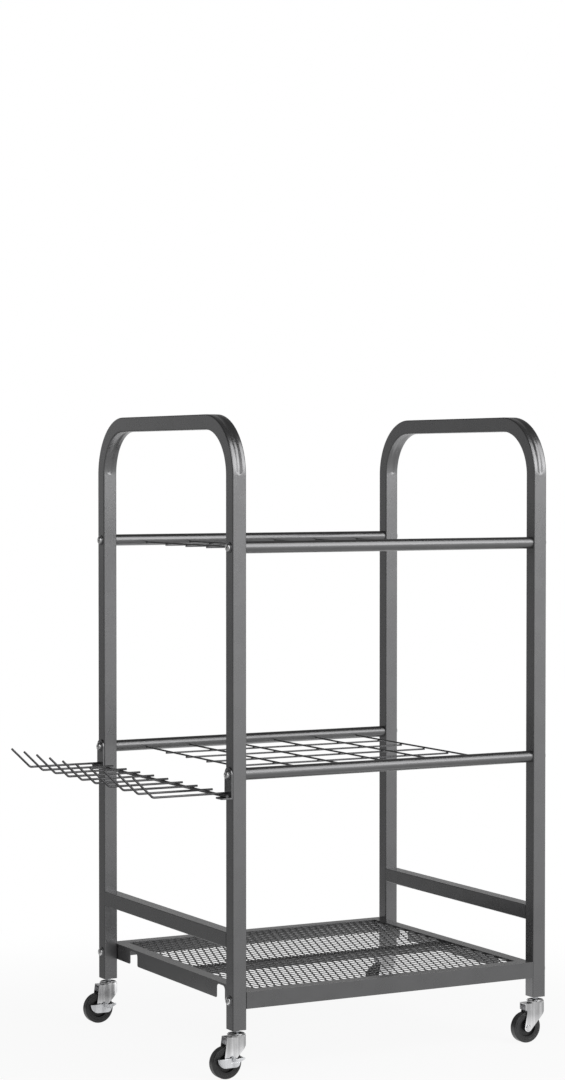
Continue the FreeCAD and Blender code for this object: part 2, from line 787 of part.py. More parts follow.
def hook_bracket(label, y, seat):
    """Tab screwed to the leg, round at the top, with a foot that carries the bar."""
    body = new_body(label)
    foot = seat - BRACKET
    head = RAIL_HEIGHT["middle"]
    tab = [(y - HALF, foot), (y + HALF, foot), (y + HALF, head, HALF, 1),
           (y, head + HALF, HALF, 1), (y - HALF, head)]
    hole = ("circle", y, head, SCREW + size("screw_hole_gap"))
    pad(body, body_sketch(body, "YZ_Plane", [tab, hole], z=LEFT - BRACKET), BRACKET)
    corner = size("bracket_foot_corner")
    reach = LEFT - size("bracket_foot_reach")
    shelf = [(reach + corner, y - HALF), (LEFT, y - HALF), (LEFT, y + HALF),
             (reach + corner, y + HALF, corner, 1), (reach, y + HALF - corner),
             (reach, y - HALF + corner, corner, 1)]
    pad(body, body_sketch(body, "XY_Plane", [shelf], z=foot), BRACKET)
    keep(body, label)


# Casters. Each is drawn with its swivel axis at X = Y = 0 and moved under its leg.

STEM = size("stem_diameter") / 2
RUNNING = size("running_gap")
WHEEL = size("wheel_diameter") / 2
AXLE = size("axle_diameter") / 2
AXLE_X = -size("wheel_trail")
FORK_SHEET = size("fork_sheet")
FORK_TOP = size("fork_top_height")
BRAKE_RIVET = size("brake_rivet_diameter") / 2
PIVOT_X = AXLE_X + size("brake_pivot_forward")
PIVOT_Z = WHEEL + size("brake_pivot_rise")


def swivel_profiles():
    """Sections of the fixed half of a caster, along its axis from the ground up."""
    under_fork = FORK_TOP - FORK_SHEET - RUNNING
    foot = under_fork - size("stem_foot_thickness")
    rim_top = size("race_top_height")
    dish = rim_top - size("race_dish")
    race = size("race_diameter") / 2
    shell = size("race_sheet")
    rim = size("race_rim")
    roll = rim / 2
    gap = size("bearing_gap")
    skirt = FORK_TOP + gap
    return {
        "caster_stems": [(foot, 0), (foot, size("stem_foot_radius")),
                         (under_fork, size("stem_foot_radius")), (under_fork, STEM),
                         (LEG_FOOT + size("stem_length"), STEM), (LEG_FOOT + size("stem_length"), 0)],
        "caster_top_races": [(dish - shell, STEM), (dish, STEM), (dish, race - rim),
                             (rim_top - roll, race - rim, roll, -1), (rim_top, race - roll, roll, -1),
                             (rim_top - roll, race), (skirt, race), (skirt, race - shell),
                             (dish - shell, race - shell)],
        "caster_bearing_rings": [(skirt, size("bearing_inner")),
                                 (dish - shell, size("bearing_inner")),
                                 (dish - shell, size("bearing_outer")),
                                 (skirt, size("bearing_outer"))],
    }


def fixed_caster_parts():
    """Stems, races and bearing rings turn into one group of four each, as do the leg sockets."""
    corners = [(side, depth) for side in LEG_X for depth in LEG_Y]
    for label, outline in swivel_profiles().items():
        section = profile(label + "_profile", [outline])
        group(label, [turned(label + "_" + depth + "_" + side, section,
                             LEG_X[side], LEG_Y[depth], 0, "up") for side, depth in corners])
    inner = HALF - TUBE_WALL
    corner = size("tube_corner") - TUBE_WALL
    section = profile("leg_socket_profile", [
        rounded_rectangle(-inner, -inner, inner, inner, corner), ("circle", 0, 0, STEM)])
    sockets = []
    for side, depth in corners:
        socket = doc.addObject("Part::Extrusion", "leg_socket_" + depth + "_" + side)
        socket.Base = section
        socket.DirMode = "Custom"
        socket.Dir = FreeCAD.Vector(0, 0, 1)
        socket.Solid = True
        bind(socket, "LengthFwd", size("socket_length"))
        sockets.append(place(socket, LEG_X[side], LEG_Y[depth], LEG_FOOT))
    group("leg_sockets", sockets)


def cheek_outline(braked):
    """Side of the fork, sloping down to the round eye at the axle; a shoulder where it has no brake."""
    eye = size("fork_eye_radius")
    slope = size("fork_slope")
    nose = size("fork_nose") + FORK_HALF
    eye_x = AXLE_X + eye * sine(slope)
    eye_z = WHEEL - eye * cosine(slope)
    nose_z = eye_z + (nose - eye_x) * tangent(slope)
    back = -size("fork_back")
    shoulder = FORK_TOP - size("fork_shoulder")
    waist = size("fork_waist")
    if braked:
        back_edge = [(-size("braked_fork_back"), FORK_TOP)]
    else:
        back_edge = [(back, FORK_TOP), (back, shoulder), (back + waist, shoulder - waist / 2)]
    return back_edge + [(AXLE_X - eye, WHEEL, eye, 1), (eye_x, eye_z), (nose, nose_z),
                        (nose, FORK_TOP)]


def nose_corner(side):
    """Waste outside the round nose of the fork, on the side of +Y or -Y."""
    nose = size("fork_nose")
    out = FORK_HALF * side
    return [(nose, out), (nose, out + side), (nose + FORK_HALF + 1, out + side),
            (nose + FORK_HALF + 1, 0), (nose + FORK_HALF, 0, FORK_HALF, side)]


def fork_inside():
    """Plan of the room inside the fork: open at the back, round at the nose."""
    half = FORK_HALF - FORK_SHEET
    nose = size("fork_nose")
    open_back = -size("fork_back") - FORK_HALF
    return [(open_back, -half), (nose, -half, half, 1), (nose + half, 0, half, 1),
            (nose, half), (open_back, half)]


def caster_fork(label, x, y, braked):
    body = new_body(label)
    pad(body, body_sketch(body, "XZ_Plane", [cheek_outline(braked)], z=-FORK_HALF), FORK_HALF * 2)
    for side in (1, -1):
        pocket(body, body_sketch(body, "XY_Plane", [nose_corner(side)], z=FORK_TOP), FORK_TOP)
    pocket(body, body_sketch(body, "XY_Plane", [fork_inside()]), FORK_TOP - FORK_SHEET,
           backwards=True)
    pocket(body, body_sketch(body, "XY_Plane", [("circle", 0, 0, STEM + RUNNING)], z=FORK_TOP),
           FORK_SHEET * 2)
    pocket(body, body_sketch(body, "XZ_Plane", [("circle", AXLE_X, WHEEL, AXLE)],
                             z=FORK_HALF + 1), FORK_HALF * 2 + 2)
    if braked:
        pocket(body, body_sketch(body, "XZ_Plane", [("circle", PIVOT_X, PIVOT_Z, BRAKE_RIVET)],
                                 z=FORK_HALF + 1), FORK_SHEET + 1.5)
    keep(place(body, x, y), label)


def wheel_profiles():
    """Half sections of the axle, tyre and hub; zero is the middle of the wheel."""
    head = size("axle_head_diameter") / 2
    thick = size("rivet_head")
    half = size("wheel_width") / 2
    edge = size("tyre_edge")
    side = half - size("tyre_ring_rise")
    ring_inner = size("tyre_ring_diameter") / 2 - size("tyre_ring_width")
    ring_outer = size("tyre_ring_diameter") / 2
    foot = size("tyre_ring_rise")
    bore = size("tyre_bore") / 2
    boss = half - size("hub_boss_play")
    boss_radius = size("hub_boss_diameter") / 2
    web = size("hub_web") / 2
    slope = size("hub_inset")
    rim = half - slope
    rim_radius = bore - size("hub_rim_wall")
    return {
        "wheel_axle": [(-FORK_HALF - thick, 0), (-FORK_HALF - thick, head - thick, thick, -1),
                       (-FORK_HALF, head), (-FORK_HALF, AXLE), (FORK_HALF, AXLE),
                       (FORK_HALF, head, thick, -1), (FORK_HALF + thick, head - thick),
                       (FORK_HALF + thick, 0)],
        "wheel_tyre": [(-side, bore), (-side, ring_inner - foot), (-half, ring_inner),
                       (-half, ring_outer), (-side, ring_outer + foot),
                       (-side, WHEEL - edge, edge, -1), (-side + edge, WHEEL),
                       (side - edge, WHEEL, edge, -1), (side, WHEEL - edge),
                       (side, ring_outer + foot), (half, ring_outer), (half, ring_inner),
                       (side, ring_inner - foot), (side, bore)],
        "wheel_hub": [(-boss, AXLE + RUNNING), (-boss, boss_radius), (-web, boss_radius + slope),
                      (-web, rim_radius - slope), (-rim, rim_radius), (-rim, bore),
                      (rim, bore), (rim, rim_radius), (web, rim_radius - slope),
                      (web, boss_radius + slope), (boss, boss_radius), (boss, AXLE + RUNNING)],
    }


def pedal_edge(inset):
    """Lower edge of the pedal from back to front: a wide curve, a flat and a tight curve."""
    back = AXLE_X - size("pedal_back")
    front = AXLE_X + size("pedal_front")
    bottom = WHEEL - size("pedal_drop")
    back_curve = size("pedal_rise") + size("pedal_drop")
    front_curve = size("pedal_toe")
    return [(back + inset, bottom + back_curve, back_curve - inset, 1),
            (back + back_curve, bottom + inset),
            (front - front_curve, bottom + inset, front_curve - inset, 1),
            (front - inset, bottom + front_curve)]


def lever_outline():
    """Brake lever: pedal, arm out to the bar and ear round the rivet."""
    arm_x, arm_z = brake_bar_centre()
    eye = size("brake_bar_diameter") / 2 + size("brake_bar_eye")
    ear = BRAKE_RIVET + size("brake_ear")
    step = size("pedal_rise") - size("brake_pivot_rise")
    return pedal_edge(0) + [
        (arm_x, arm_z - eye, eye, 1), (arm_x + eye, arm_z, eye, 1), (arm_x, arm_z + eye),
        (PIVOT_X + ear, PIVOT_Z, ear, 1), (PIVOT_X, PIVOT_Z + ear, ear, 1),
        (PIVOT_X - root(ear * ear - step * step), PIVOT_Z + step)]


def tread_outline():
    """Raised tread of the pedal, where a shoe presses, cut away round the rivet."""
    border = size("pedal_border")
    clear = BRAKE_RIVET + size("brake_ear") + size("tread_clearance")
    shelf = PIVOT_Z - clear
    rise = WHEEL + size("pedal_rise")
    front = AXLE_X + size("pedal_front") - border
    return pedal_edge(border) + [(front, shelf), (PIVOT_X - clear, shelf), (PIVOT_X - clear, rise)]


def brake_bar_centre():
    """Place of the bar in front of the tread, with the brake off."""
    reach = WHEEL + size("brake_bar_gap") + size("brake_bar_diameter") / 2
    rise = size("brake_bar_rise")
    return AXLE_X + root(reach * reach - rise * rise), WHEEL + rise


def brake_lever(label, x, y):
    body = new_body(label)
    thickness = size("brake_sheet")
    rivet_hole = ("circle", PIVOT_X, PIVOT_Z, BRAKE_RIVET + RUNNING)
    pad(body, body_sketch(body, "XZ_Plane", [lever_outline(), rivet_hole], z=LEVER_INNER), thickness)
    pad(body, body_sketch(body, "XZ_Plane", [tread_outline()], z=LEVER_OUTER), size("pedal_tread"))
    bar_x, bar_z = brake_bar_centre()
    bar = ("circle", bar_x, bar_z, size("brake_bar_diameter") / 2)
    pad(body, body_sketch(body, "XZ_Plane", [bar], z=LEVER_OUTER), size("brake_bar_length"),
        backwards=True)
    keep(place(body, x, y), label)


def brake_rivet_outline():
    """Shouldered rivet: shank in the cheek, spacer, bearing for the lever, head outside."""
    spacer = BRAKE_RIVET + size("brake_spacer")
    thick = size("rivet_head")
    head = LEVER_OUTER + RUNNING
    return [(-head - thick, 0), (-head - thick, BRAKE_RIVET, thick, -1),
            (-head, BRAKE_RIVET + thick),
            (-head, BRAKE_RIVET), (-LEVER_INNER + RUNNING, BRAKE_RIVET),
            (-LEVER_INNER + RUNNING, spacer), (-FORK_HALF, spacer), (-FORK_HALF, BRAKE_RIVET),
            (-FORK_HALF + FORK_SHEET, BRAKE_RIVET), (-FORK_HALF + FORK_SHEET, 0)]


def casters():
    fixed_caster_parts()
    sections = {label: profile(label + "_profile", [outline])
                for label, outline in wheel_profiles().items()}
    rivet = profile("brake_rivet_profile", [brake_rivet_outline()])
    for side, x in LEG_X.items():
        for depth, y in LEG_Y.items():
            corner = "_" + depth + "_" + side
            braked = side == "left"
            caster_fork("caster_fork" + corner, x, y, braked)
            for label, section in sections.items():
                keep(turned(label + corner, section, x + AXLE_X, y, WHEEL, "back"), label + corner)
            if braked:
                brake_lever("brake_lever" + corner, x, y)
                keep(turned("brake_rivet" + corner, rivet, x + PIVOT_X, y, PIVOT_Z, "back"),
                     "brake_rivet" + corner)


side_frame("side_frame_left", LEFT)
side_frame("side_frame_right", INNER_RIGHT)
crossbar("lower_crossbar_left", LEFT)
crossbar("lower_crossbar_right", INNER_RIGHT)
for level_name, rail_z in RAIL_HEIGHT.items():
    for depth_name, rail_y in LEG_Y.items():
        rail(level_name + "_rail_" + depth_name, rail_y, rail_z)
    wire_grid(level_name)
rail_inserts()
fasteners()
tray_pan()
mesh_floor()
tray_stiffener()
hook_rack()
casters()
doc.recompute()

failed = [thing.Name for thing in doc.Objects
          if "Invalid" in thing.State or "Error" in thing.State]
failed += [node.Label for node in nodes if node.Shape.isNull() or not node.Shape.isValid()]
if failed:
    raise SystemExit("failed: " + ", ".join(failed))

os.makedirs("parts", exist_ok=True)
for node in nodes:
    node.Shape.exportStep(os.path.join("parts", node.Label + ".step"))
print(len(nodes), "sub-parts")
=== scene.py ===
"""Looks of a freestanding garden rack on casters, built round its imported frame.

Metres, in the frame's own axes: +X to the rack's right, +Y to its back, +Z up, ground at zero.
"""
import json
import math

import bmesh
import bpy
from mathutils import Matrix, Vector

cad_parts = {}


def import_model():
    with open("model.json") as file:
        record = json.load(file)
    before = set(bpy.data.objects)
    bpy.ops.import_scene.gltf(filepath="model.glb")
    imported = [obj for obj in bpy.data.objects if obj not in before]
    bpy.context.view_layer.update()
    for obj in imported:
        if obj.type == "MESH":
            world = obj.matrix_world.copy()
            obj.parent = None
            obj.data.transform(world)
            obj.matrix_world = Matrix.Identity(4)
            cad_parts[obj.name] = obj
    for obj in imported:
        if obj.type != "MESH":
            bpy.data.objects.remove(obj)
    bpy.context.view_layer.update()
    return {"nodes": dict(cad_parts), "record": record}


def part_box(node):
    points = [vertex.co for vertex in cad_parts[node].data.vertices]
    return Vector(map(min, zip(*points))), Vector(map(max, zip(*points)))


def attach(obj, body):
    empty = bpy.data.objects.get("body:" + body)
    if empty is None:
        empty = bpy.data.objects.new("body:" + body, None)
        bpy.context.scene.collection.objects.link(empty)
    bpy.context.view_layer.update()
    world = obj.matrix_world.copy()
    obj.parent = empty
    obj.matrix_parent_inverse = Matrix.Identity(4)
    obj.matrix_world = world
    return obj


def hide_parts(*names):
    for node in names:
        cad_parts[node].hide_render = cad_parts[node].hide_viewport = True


MM = 0.001
UP = Vector((0.0, 0.0, 1.0))
SIDES = ("left", "right")
DEPTHS = ("front", "back")
LEVELS = ("upper", "middle")
LEGS = [(depth, side) for depth in DEPTHS for side in SIDES]

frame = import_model()
NODES = frame["nodes"]
RECORD = frame["record"]

LEFT_LOW, LEFT_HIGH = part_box("side_frame_left")
RIGHT_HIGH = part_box("side_frame_right")[1]
HALF = (LEFT_HIGH.x - LEFT_LOW.x) / 2          # of the square tube
FRONT, BACK = LEFT_LOW.y, LEFT_HIGH.y
LEG_FOOT, TOP = LEFT_LOW.z, LEFT_HIGH.z
LEG_X = {"left": LEFT_LOW.x + HALF, "right": RIGHT_HIGH.x - HALF}
LEG_Y = {"front": FRONT + HALF, "back": BACK - HALF}


# Node trees

FLOAT = "NodeSocketFloat"
VECTOR = "NodeSocketVector"
WHOLE = "NodeSocketInt"
THING = "NodeSocketObject"
FINISH = "NodeSocketMaterial"
SHAPE = "NodeSocketGeometry"


class Tree:
    """Adds nodes to one node tree. An input takes a socket to link, or a plain value."""

    def __init__(self, tree):
        self.tree = tree

    def link(self, value, socket):
        """Plug an output into a socket, or set the socket to a plain value."""
        if isinstance(value, bpy.types.NodeSocket):
            self.tree.links.new(value, socket)
        else:
            socket.default_value = value

    def node(self, kind, inputs=(), **settings):
        """Add a node; its inputs are given by name or number."""
        made = self.tree.nodes.new(kind)
        for name, value in settings.items():
            setattr(made, name, value)
        for key, value in dict(inputs).items():
            self.link(value, made.inputs[key])
        return made

    def make(self, kind, inputs=(), output=0, **settings):
        """Add a node and return one of its outputs."""
        return self.node(kind, inputs, **settings).outputs[output]

    def math(self, operation, *values):
        """Math node; more than two values are taken in one after the other."""
        result = values[0]
        for value in values[1:] or (0.0,):
            result = self.make("ShaderNodeMath", {0: result, 1: value}, operation=operation)
        return result

    def vector(self, operation, *values):
        output = "Value" if operation in ("DOT_PRODUCT", "LENGTH") else "Vector"
        return self.make("ShaderNodeVectorMath", enumerate(values), output, operation=operation)

    def mix(self, factor, one, two):
        """Mix two colours."""
        return self.make("ShaderNodeMix", {"Factor": factor, 6: one, 7: two}, 2, data_type="RGBA")

    def blend(self, factor, one, two):
        """Mix two shaders."""
        return self.make("ShaderNodeMixShader", {0: factor, 1: one, 2: two})

    def noise(self, place, scale, detail=2.0):
        return self.make("ShaderNodeTexNoise", {"Vector": place, "Scale": scale, "Detail": detail}, "Fac")

    def spread(self, value, low, high, to_low=0.0, to_high=1.0):
        """Carry a range over to another one smoothly, and hold it at both ends."""
        return self.make("ShaderNodeMapRange", enumerate((value, low, high, to_low, to_high)),
                         interpolation_type="SMOOTHSTEP")

    def stretched(self, place, scale, turn=(0.0, 0.0, 0.0)):
        return self.make("ShaderNodeMapping", {"Vector": place, "Scale": scale, "Rotation": turn})


def new_tree(name, kind, inputs, outputs):
    """Node group with named sockets: inputs are (name, type, default), outputs are (name, type)."""
    tree = bpy.data.node_groups.new(name, kind)
    for label, socket_type in outputs:
        tree.interface.new_socket(label, in_out="OUTPUT", socket_type=socket_type)
    for label, socket_type, default in inputs:
        socket = tree.interface.new_socket(label, in_out="INPUT", socket_type=socket_type)
        if default is not None:
            socket.default_value = default
    t = Tree(tree)
    return t, t.node("NodeGroupInput").outputs, t.node("NodeGroupOutput").inputs


def new_effect(name, inputs, *outputs):
    """Shader group that reads a place and puts out numbers that change over the surface."""
    sockets = [("Place", VECTOR, None)] + [(label, FLOAT, default) for label, default in inputs.items()]
    return new_tree(name, "ShaderNodeTree", sockets, [(label, FLOAT) for label in outputs])


def emptied(owner):
    """Cleared node tree of a material or a world."""
    owner.use_nodes = True
    owner.node_tree.nodes.clear()
    return Tree(owner.node_tree)


# Surface effects that several finishes share

def orange_peel_effect():
    """Fine leathery skin of baked powder coat or a moulding: height and a faint mottling."""
    t, given, gives = new_effect(
        "orange peel", {"Grain per metre": 900.0, "Mottle per metre": 35.0}, "Height", "Mottle")
    coarse = t.noise(given["Place"], given["Grain per metre"], 1.0)
    fine = t.noise(given["Place"], t.math("MULTIPLY", given["Grain per metre"], 3.1))
    t.link(t.math("ADD", t.math("MULTIPLY", coarse, 0.7), t.math("MULTIPLY", fine, 0.3)), gives["Height"])
    t.link(t.noise(given["Place"], given["Mottle per metre"], 4.0), gives["Mottle"])
    return t.tree


def dust_effect():
    """Settled dust: only on what faces up, broken by noise."""
    t, given, gives = new_effect("settled dust", {"Patches per metre": 60.0, "Amount": 0.2}, "Mask")
    normal = t.make("ShaderNodeNewGeometry", output="Normal")
    facing_up = t.spread(t.vector("DOT_PRODUCT", normal, UP), 0.2, 1.0)
    patches = t.spread(t.noise(given["Place"], given["Patches per metre"], 5.0), 0.4, 0.7)
    t.link(t.math("MULTIPLY", facing_up, patches, given["Amount"]), gives["Mask"])
    return t.tree


def edge_wear_effect():
    """Mask on the outer edges, broken by noise; Width is how far it reaches in."""
    t, given, gives = new_effect(
        "edge wear", {"Width": 0.8 * MM, "Breaks per metre": 250.0, "Amount": 0.5}, "Mask")
    normal = t.make("ShaderNodeNewGeometry", output="Normal")
    rounded = t.make("ShaderNodeBevel", {"Radius": given["Width"]}, samples=6)
    edge = t.spread(t.vector("DOT_PRODUCT", rounded, normal), 0.9, 0.995, 1.0, 0.0)
    breaks = t.spread(t.noise(given["Place"], given["Breaks per metre"], 3.0), 0.35, 0.65)
    t.link(t.math("MULTIPLY", edge, breaks, given["Amount"]), gives["Mask"])
    return t.tree


def buffing_and_streak_sheen_effect():
    """Polished plate: upright streaks that are painted reflection, standing in for the bands that the plate
    mirrors, a slow blotch and hair-fine handling marks.
    """
    t, given, gives = new_effect(
        "buffed plate with painted reflection streaks", {"Streaks per metre": 160.0, "Marks per metre": 500.0, "Blotches per metre": 120.0},
        "Streak", "Blotch", "Height")
    upright = t.stretched(given["Place"], (1.0, 1.0, 0.06))
    slanted = t.stretched(given["Place"], (1.0, 1.0, 12.0), (0.4, 0.7, 0.2))
    t.link(t.spread(t.noise(upright, given["Streaks per metre"]), 0.38, 0.62), gives["Streak"])
    t.link(t.noise(given["Place"], given["Blotches per metre"], 3.0), gives["Blotch"])
    t.link(t.noise(slanted, given["Marks per metre"], 4.0), gives["Height"])
    return t.tree


ORANGE_PEEL = orange_peel_effect()
DUST = dust_effect()
EDGE_WEAR = edge_wear_effect()
BUFFING_AND_STREAK_SHEEN = buffing_and_streak_sheen_effect()


# Finishes

PAINT_DUST = (0.42, 0.41, 0.39, 1.0)
RUBBER_DUST = (0.30, 0.29, 0.27, 1.0)


def new_material(name, metallic=0.0):
    """Material, its tree, the inputs of its one shader, and the place on the piece."""
    material = bpy.data.materials.new(name)
    t = emptied(material)
    shader = t.node("ShaderNodeBsdfPrincipled", {"Metallic": metallic})
    t.node("ShaderNodeOutputMaterial", {"Surface": shader.outputs[0]})
    return material, t, shader.inputs, t.make("ShaderNodeTexCoord", output="Object")


def effect(t, group, place, values):
    return t.node("ShaderNodeGroup", {"Place": place, **values}, node_tree=group).outputs


def bump(t, height, distance, strength):
    return t.make("ShaderNodeBump", {"Height": height, "Distance": distance, "Strength": strength})


def shade(colour, times, lift=0.0):
    """Colour made darker or paler, with its fourth channel."""
    return tuple(min(1.0, channel * times + lift) for channel in colour) + (1.0,)


def powder_coat(name, colour, roughness, grain, metallic=0.85):
    """Gunmetal powder coat: metal flake in a fine orange peel, paler thin edges, a little dust."""
    material, t, shader, place = new_material(name, metallic)
    peel = effect(t, ORANGE_PEEL, place, {"Grain per metre": grain})
    wear = effect(t, EDGE_WEAR, place, {"Amount": 0.15})
    dust = effect(t, DUST, place, {"Amount": 0.06})
    body = t.mix(t.spread(peel["Mottle"], 0.35, 0.65), shade(colour, 0.98), shade(colour, 1.02))
    body = t.mix(wear["Mask"], body, shade(colour, 1.5, 0.02))
    t.link(t.mix(dust["Mask"], body, PAINT_DUST), shader["Base Color"])
    t.link(t.spread(peel["Mottle"], 0.3, 0.7, roughness - 0.01, roughness + 0.015), shader["Roughness"])
    t.link(bump(t, peel["Height"], 0.02 * MM, 0.4), shader["Normal"])
    return material


def plated(name, colour, roughness, reflection_streak, marks=500.0, dent=0.02 * MM, recess_shade=1.0):
    """Bright plate over steel: upright streaks of paler and darker plate that stand in for reflected bands,
    so painted reflection; blotchy polish; handling marks; and painted shade that darkens the recesses.
    """
    material, t, shader, place = new_material(name, 1.0)
    plate = effect(t, BUFFING_AND_STREAK_SHEEN, place, {"Marks per metre": marks})
    hollow = t.make("ShaderNodeAmbientOcclusion", {"Distance": 2.0 * MM}, "AO", samples=6)
    # Painted reflection: the upright streaks make the plate paler and darker in bands, as mirrored
    # surroundings would.
    body = t.mix(plate["Streak"], shade(colour, reflection_streak), shade(colour, 1.0))
    # Painted shade: ambient occlusion darkens the base colour in recesses, such as a screw's socket or the
    # inside of a caster fork.
    body = t.mix(t.spread(hollow, 0.25, 0.75, 1.0, 0.0), body, shade(colour, recess_shade))
    t.link(body, shader["Base Color"])
    t.link(t.spread(plate["Blotch"], 0.3, 0.7, roughness, roughness + 0.07), shader["Roughness"])
    t.link(bump(t, plate["Height"], dent, 0.3), shader["Normal"])
    return material


def moulded(name, colour, roughness, grain, depth, worn):
    """Moulded rubber or nylon with a fine even grain, duller where it is scuffed."""
    material, t, shader, place = new_material(name)
    peel = effect(t, ORANGE_PEEL, place, {"Grain per metre": grain, "Mottle per metre": 90.0})
    wear = effect(t, EDGE_WEAR, place, {"Amount": worn, "Width": 0.5 * MM})
    dust = effect(t, DUST, place, {"Amount": 0.08})
    scuffed = shade(colour, 2.4, 0.012)
    body = t.mix(t.spread(peel["Mottle"], 0.45, 0.75, 0.0, 0.25), shade(colour, 1.0), scuffed)
    body = t.mix(wear["Mask"], body, scuffed)
    t.link(t.mix(dust["Mask"], body, RUBBER_DUST), shader["Base Color"])
    t.link(t.spread(peel["Mottle"], 0.3, 0.7, roughness - 0.05, roughness + 0.06), shader["Roughness"])
    t.link(bump(t, peel["Height"], depth, 0.7), shader["Normal"])
    return material


FRAME_PAINT = powder_coat("frame powder coat", (0.236, 0.236, 0.24), 0.27, 700.0)
RAIL_PAINT = powder_coat("rail powder coat", (0.21, 0.21, 0.213), 0.29, 900.0)
TRAY_PAINT = powder_coat("tray powder coat", (0.205, 0.205, 0.208), 0.28, 800.0)
WIRE_PAINT = powder_coat("wire powder coat", (0.13, 0.13, 0.133), 0.26, 1400.0, metallic=0.8)
# The recess shade is painted shade: it paints the screw sockets nearly black, and darkens the hollows of the
# caster chrome.
SCREW_PLATE = plated("bright screw plate", (0.95, 0.95, 0.95), 0.3, 0.9, marks=900.0, recess_shade=0.08)
# Painted shade: the washers are plated far darker than the zinc, to give the dark ring round each screw
# head.
SHADE_DARK_WASHER_PLATE = plated("washer plate darkened as painted shade", (0.3, 0.3, 0.31), 0.3, 0.9, marks=900.0)
ZINC = plated("clear zinc plate", (0.62, 0.63, 0.65), 0.22, 0.85, marks=700.0)
CHROME = plated("caster chrome", (0.92, 0.92, 0.93), 0.11, 0.68, recess_shade=0.4)
PEDAL_CHROME = plated("pedal chrome", (0.82, 0.83, 0.85), 0.16, 0.75, marks=260.0, dent=0.12 * MM)
RUBBER = moulded("black tyre rubber", (0.034, 0.034, 0.035), 0.34, 1500.0, 0.02 * MM, 0.25)
HUB_NYLON = moulded("black hub nylon", (0.014, 0.014, 0.015), 0.40, 2200.0, 0.03 * MM, 0.3)
SOCKET_NYLON = moulded("black socket nylon", (0.02, 0.02, 0.021), 0.45, 1800.0, 0.03 * MM, 0.2)

FINISH_OF = {
    "side_frame": FRAME_PAINT, "lower_crossbar": FRAME_PAINT, "hook_bracket": FRAME_PAINT,
    "upper_rail": RAIL_PAINT, "middle_rail": RAIL_PAINT,
    "upper_grid": WIRE_PAINT, "middle_grid": WIRE_PAINT, "hook_wires": WIRE_PAINT, "hook_bar": WIRE_PAINT,
    "tray_pan": TRAY_PAINT, "tray_mesh": TRAY_PAINT, "tray_stiffener": TRAY_PAINT,
    "rail_screws": SCREW_PLATE, "tray_screws": SCREW_PLATE, "screw_washers": SHADE_DARK_WASHER_PLATE,
    "tray_nuts": ZINC, "rail_end_inserts": ZINC, "leg_sockets": SOCKET_NYLON,
    "caster_stems": ZINC, "caster_top_races": CHROME, "caster_bearing_rings": ZINC,
    "caster_fork": CHROME, "wheel_axle": CHROME, "wheel_tyre": RUBBER, "wheel_hub": HUB_NYLON,
    "brake_lever": PEDAL_CHROME, "brake_rivet": ZINC,
}


def finish_of(node):
    return next(finish for start, finish in FINISH_OF.items() if node.startswith(start))


def body_of(node):
    return next(body for body, members in RECORD["behaviour"]["bodies"].items() if node in members)


def paint(thing, finish):
    thing.data.materials.clear()
    thing.data.materials.append(finish)


for name, thing in NODES.items():
    paint(thing, finish_of(name))


# Pieces in place of CAD nodes

ROUND = 35.0                   # degrees between faces, up to which a turned piece is shaded round
PRESSED = 30.0                 # degrees between faces, past which a pressed corner is rounded


def new_piece(name, mesh, node, stands_for=True):
    """Show a mesh in place of a node, or beside it, on the same body and in the same finish."""
    piece = bpy.data.objects.new(name, mesh)
    bpy.context.scene.collection.objects.link(piece)
    paint(piece, finish_of(node))
    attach(piece, body_of(node))
    if stands_for:
        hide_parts(node)
    return piece


def merged_shells(node):
    """A node's loose triangles, joined into closed shells."""
    shape = bmesh.new()
    shape.from_mesh(NODES[node].data)
    bmesh.ops.remove_doubles(shape, verts=shape.verts, dist=0.001 * MM)
    return shape


def as_mesh(shape, name):
    """Plain mesh of a shape, without the face normals that a packed one brings along."""
    mesh = bpy.data.meshes.new(name)
    shape.to_mesh(mesh)
    shape.free()
    packed = mesh.attributes.get("custom_normal")
    if packed:
        mesh.attributes.remove(packed)
    mesh.shade_smooth()
    return mesh


def rounded_mesh(shape, name, sharp):
    """Mesh shaded smooth, apart from edges sharper than this many degrees."""
    mesh = as_mesh(shape, name)
    mesh.set_sharp_from_angle(angle=math.radians(sharp))
    return mesh


def own_mesh(shape, name, sharp=50.0):
    """Rounded mesh of a shape that was made here, its faces turned outwards."""
    bmesh.ops.recalc_face_normals(shape, faces=shape.faces)
    return rounded_mesh(shape, name, sharp)


def weighted(piece):
    """Let the large faces set the normals, so that flats stay flat beside their small curves."""
    piece.modifiers.new("flats stay flat", "WEIGHTED_NORMAL").keep_sharp = True


def smoothed(node):
    """Turned, drawn or moulded piece with its round faces shaded round."""
    weighted(new_piece(node + "_finished", rounded_mesh(merged_shells(node), node, ROUND), node))


def softened(node, width, segments=2):
    """Pressed or folded piece with its corners rounded as a press leaves them."""
    shape = bmesh.new()
    shape.from_mesh(as_mesh(merged_shells(node), node))
    bmesh.ops.dissolve_limit(shape, angle_limit=math.radians(0.5), verts=shape.verts, edges=shape.edges)
    piece = new_piece(node + "_pressed", as_mesh(shape, node), node)
    bevel = piece.modifiers.new("rounded corners", "BEVEL")
    bevel.width = width
    bevel.segments = segments
    bevel.limit_method = "ANGLE"
    bevel.angle_limit = math.radians(PRESSED)
    bevel.use_clamp_overlap = True
    bevel.harden_normals = True


def evenly(first, last, count):
    """Numbers at equal steps from first to last, both of them included."""
    return [first + (last - first) * i / (count - 1) for i in range(count)]


def angles(count):
    """Equal steps of a full turn."""
    return [math.tau * i / count for i in range(count)]


def circle(shape, height, radius, spokes):
    """Closed loop of points round the Z axis."""
    return [shape.verts.new((radius * math.cos(a), radius * math.sin(a), height)) for a in angles(spokes)]


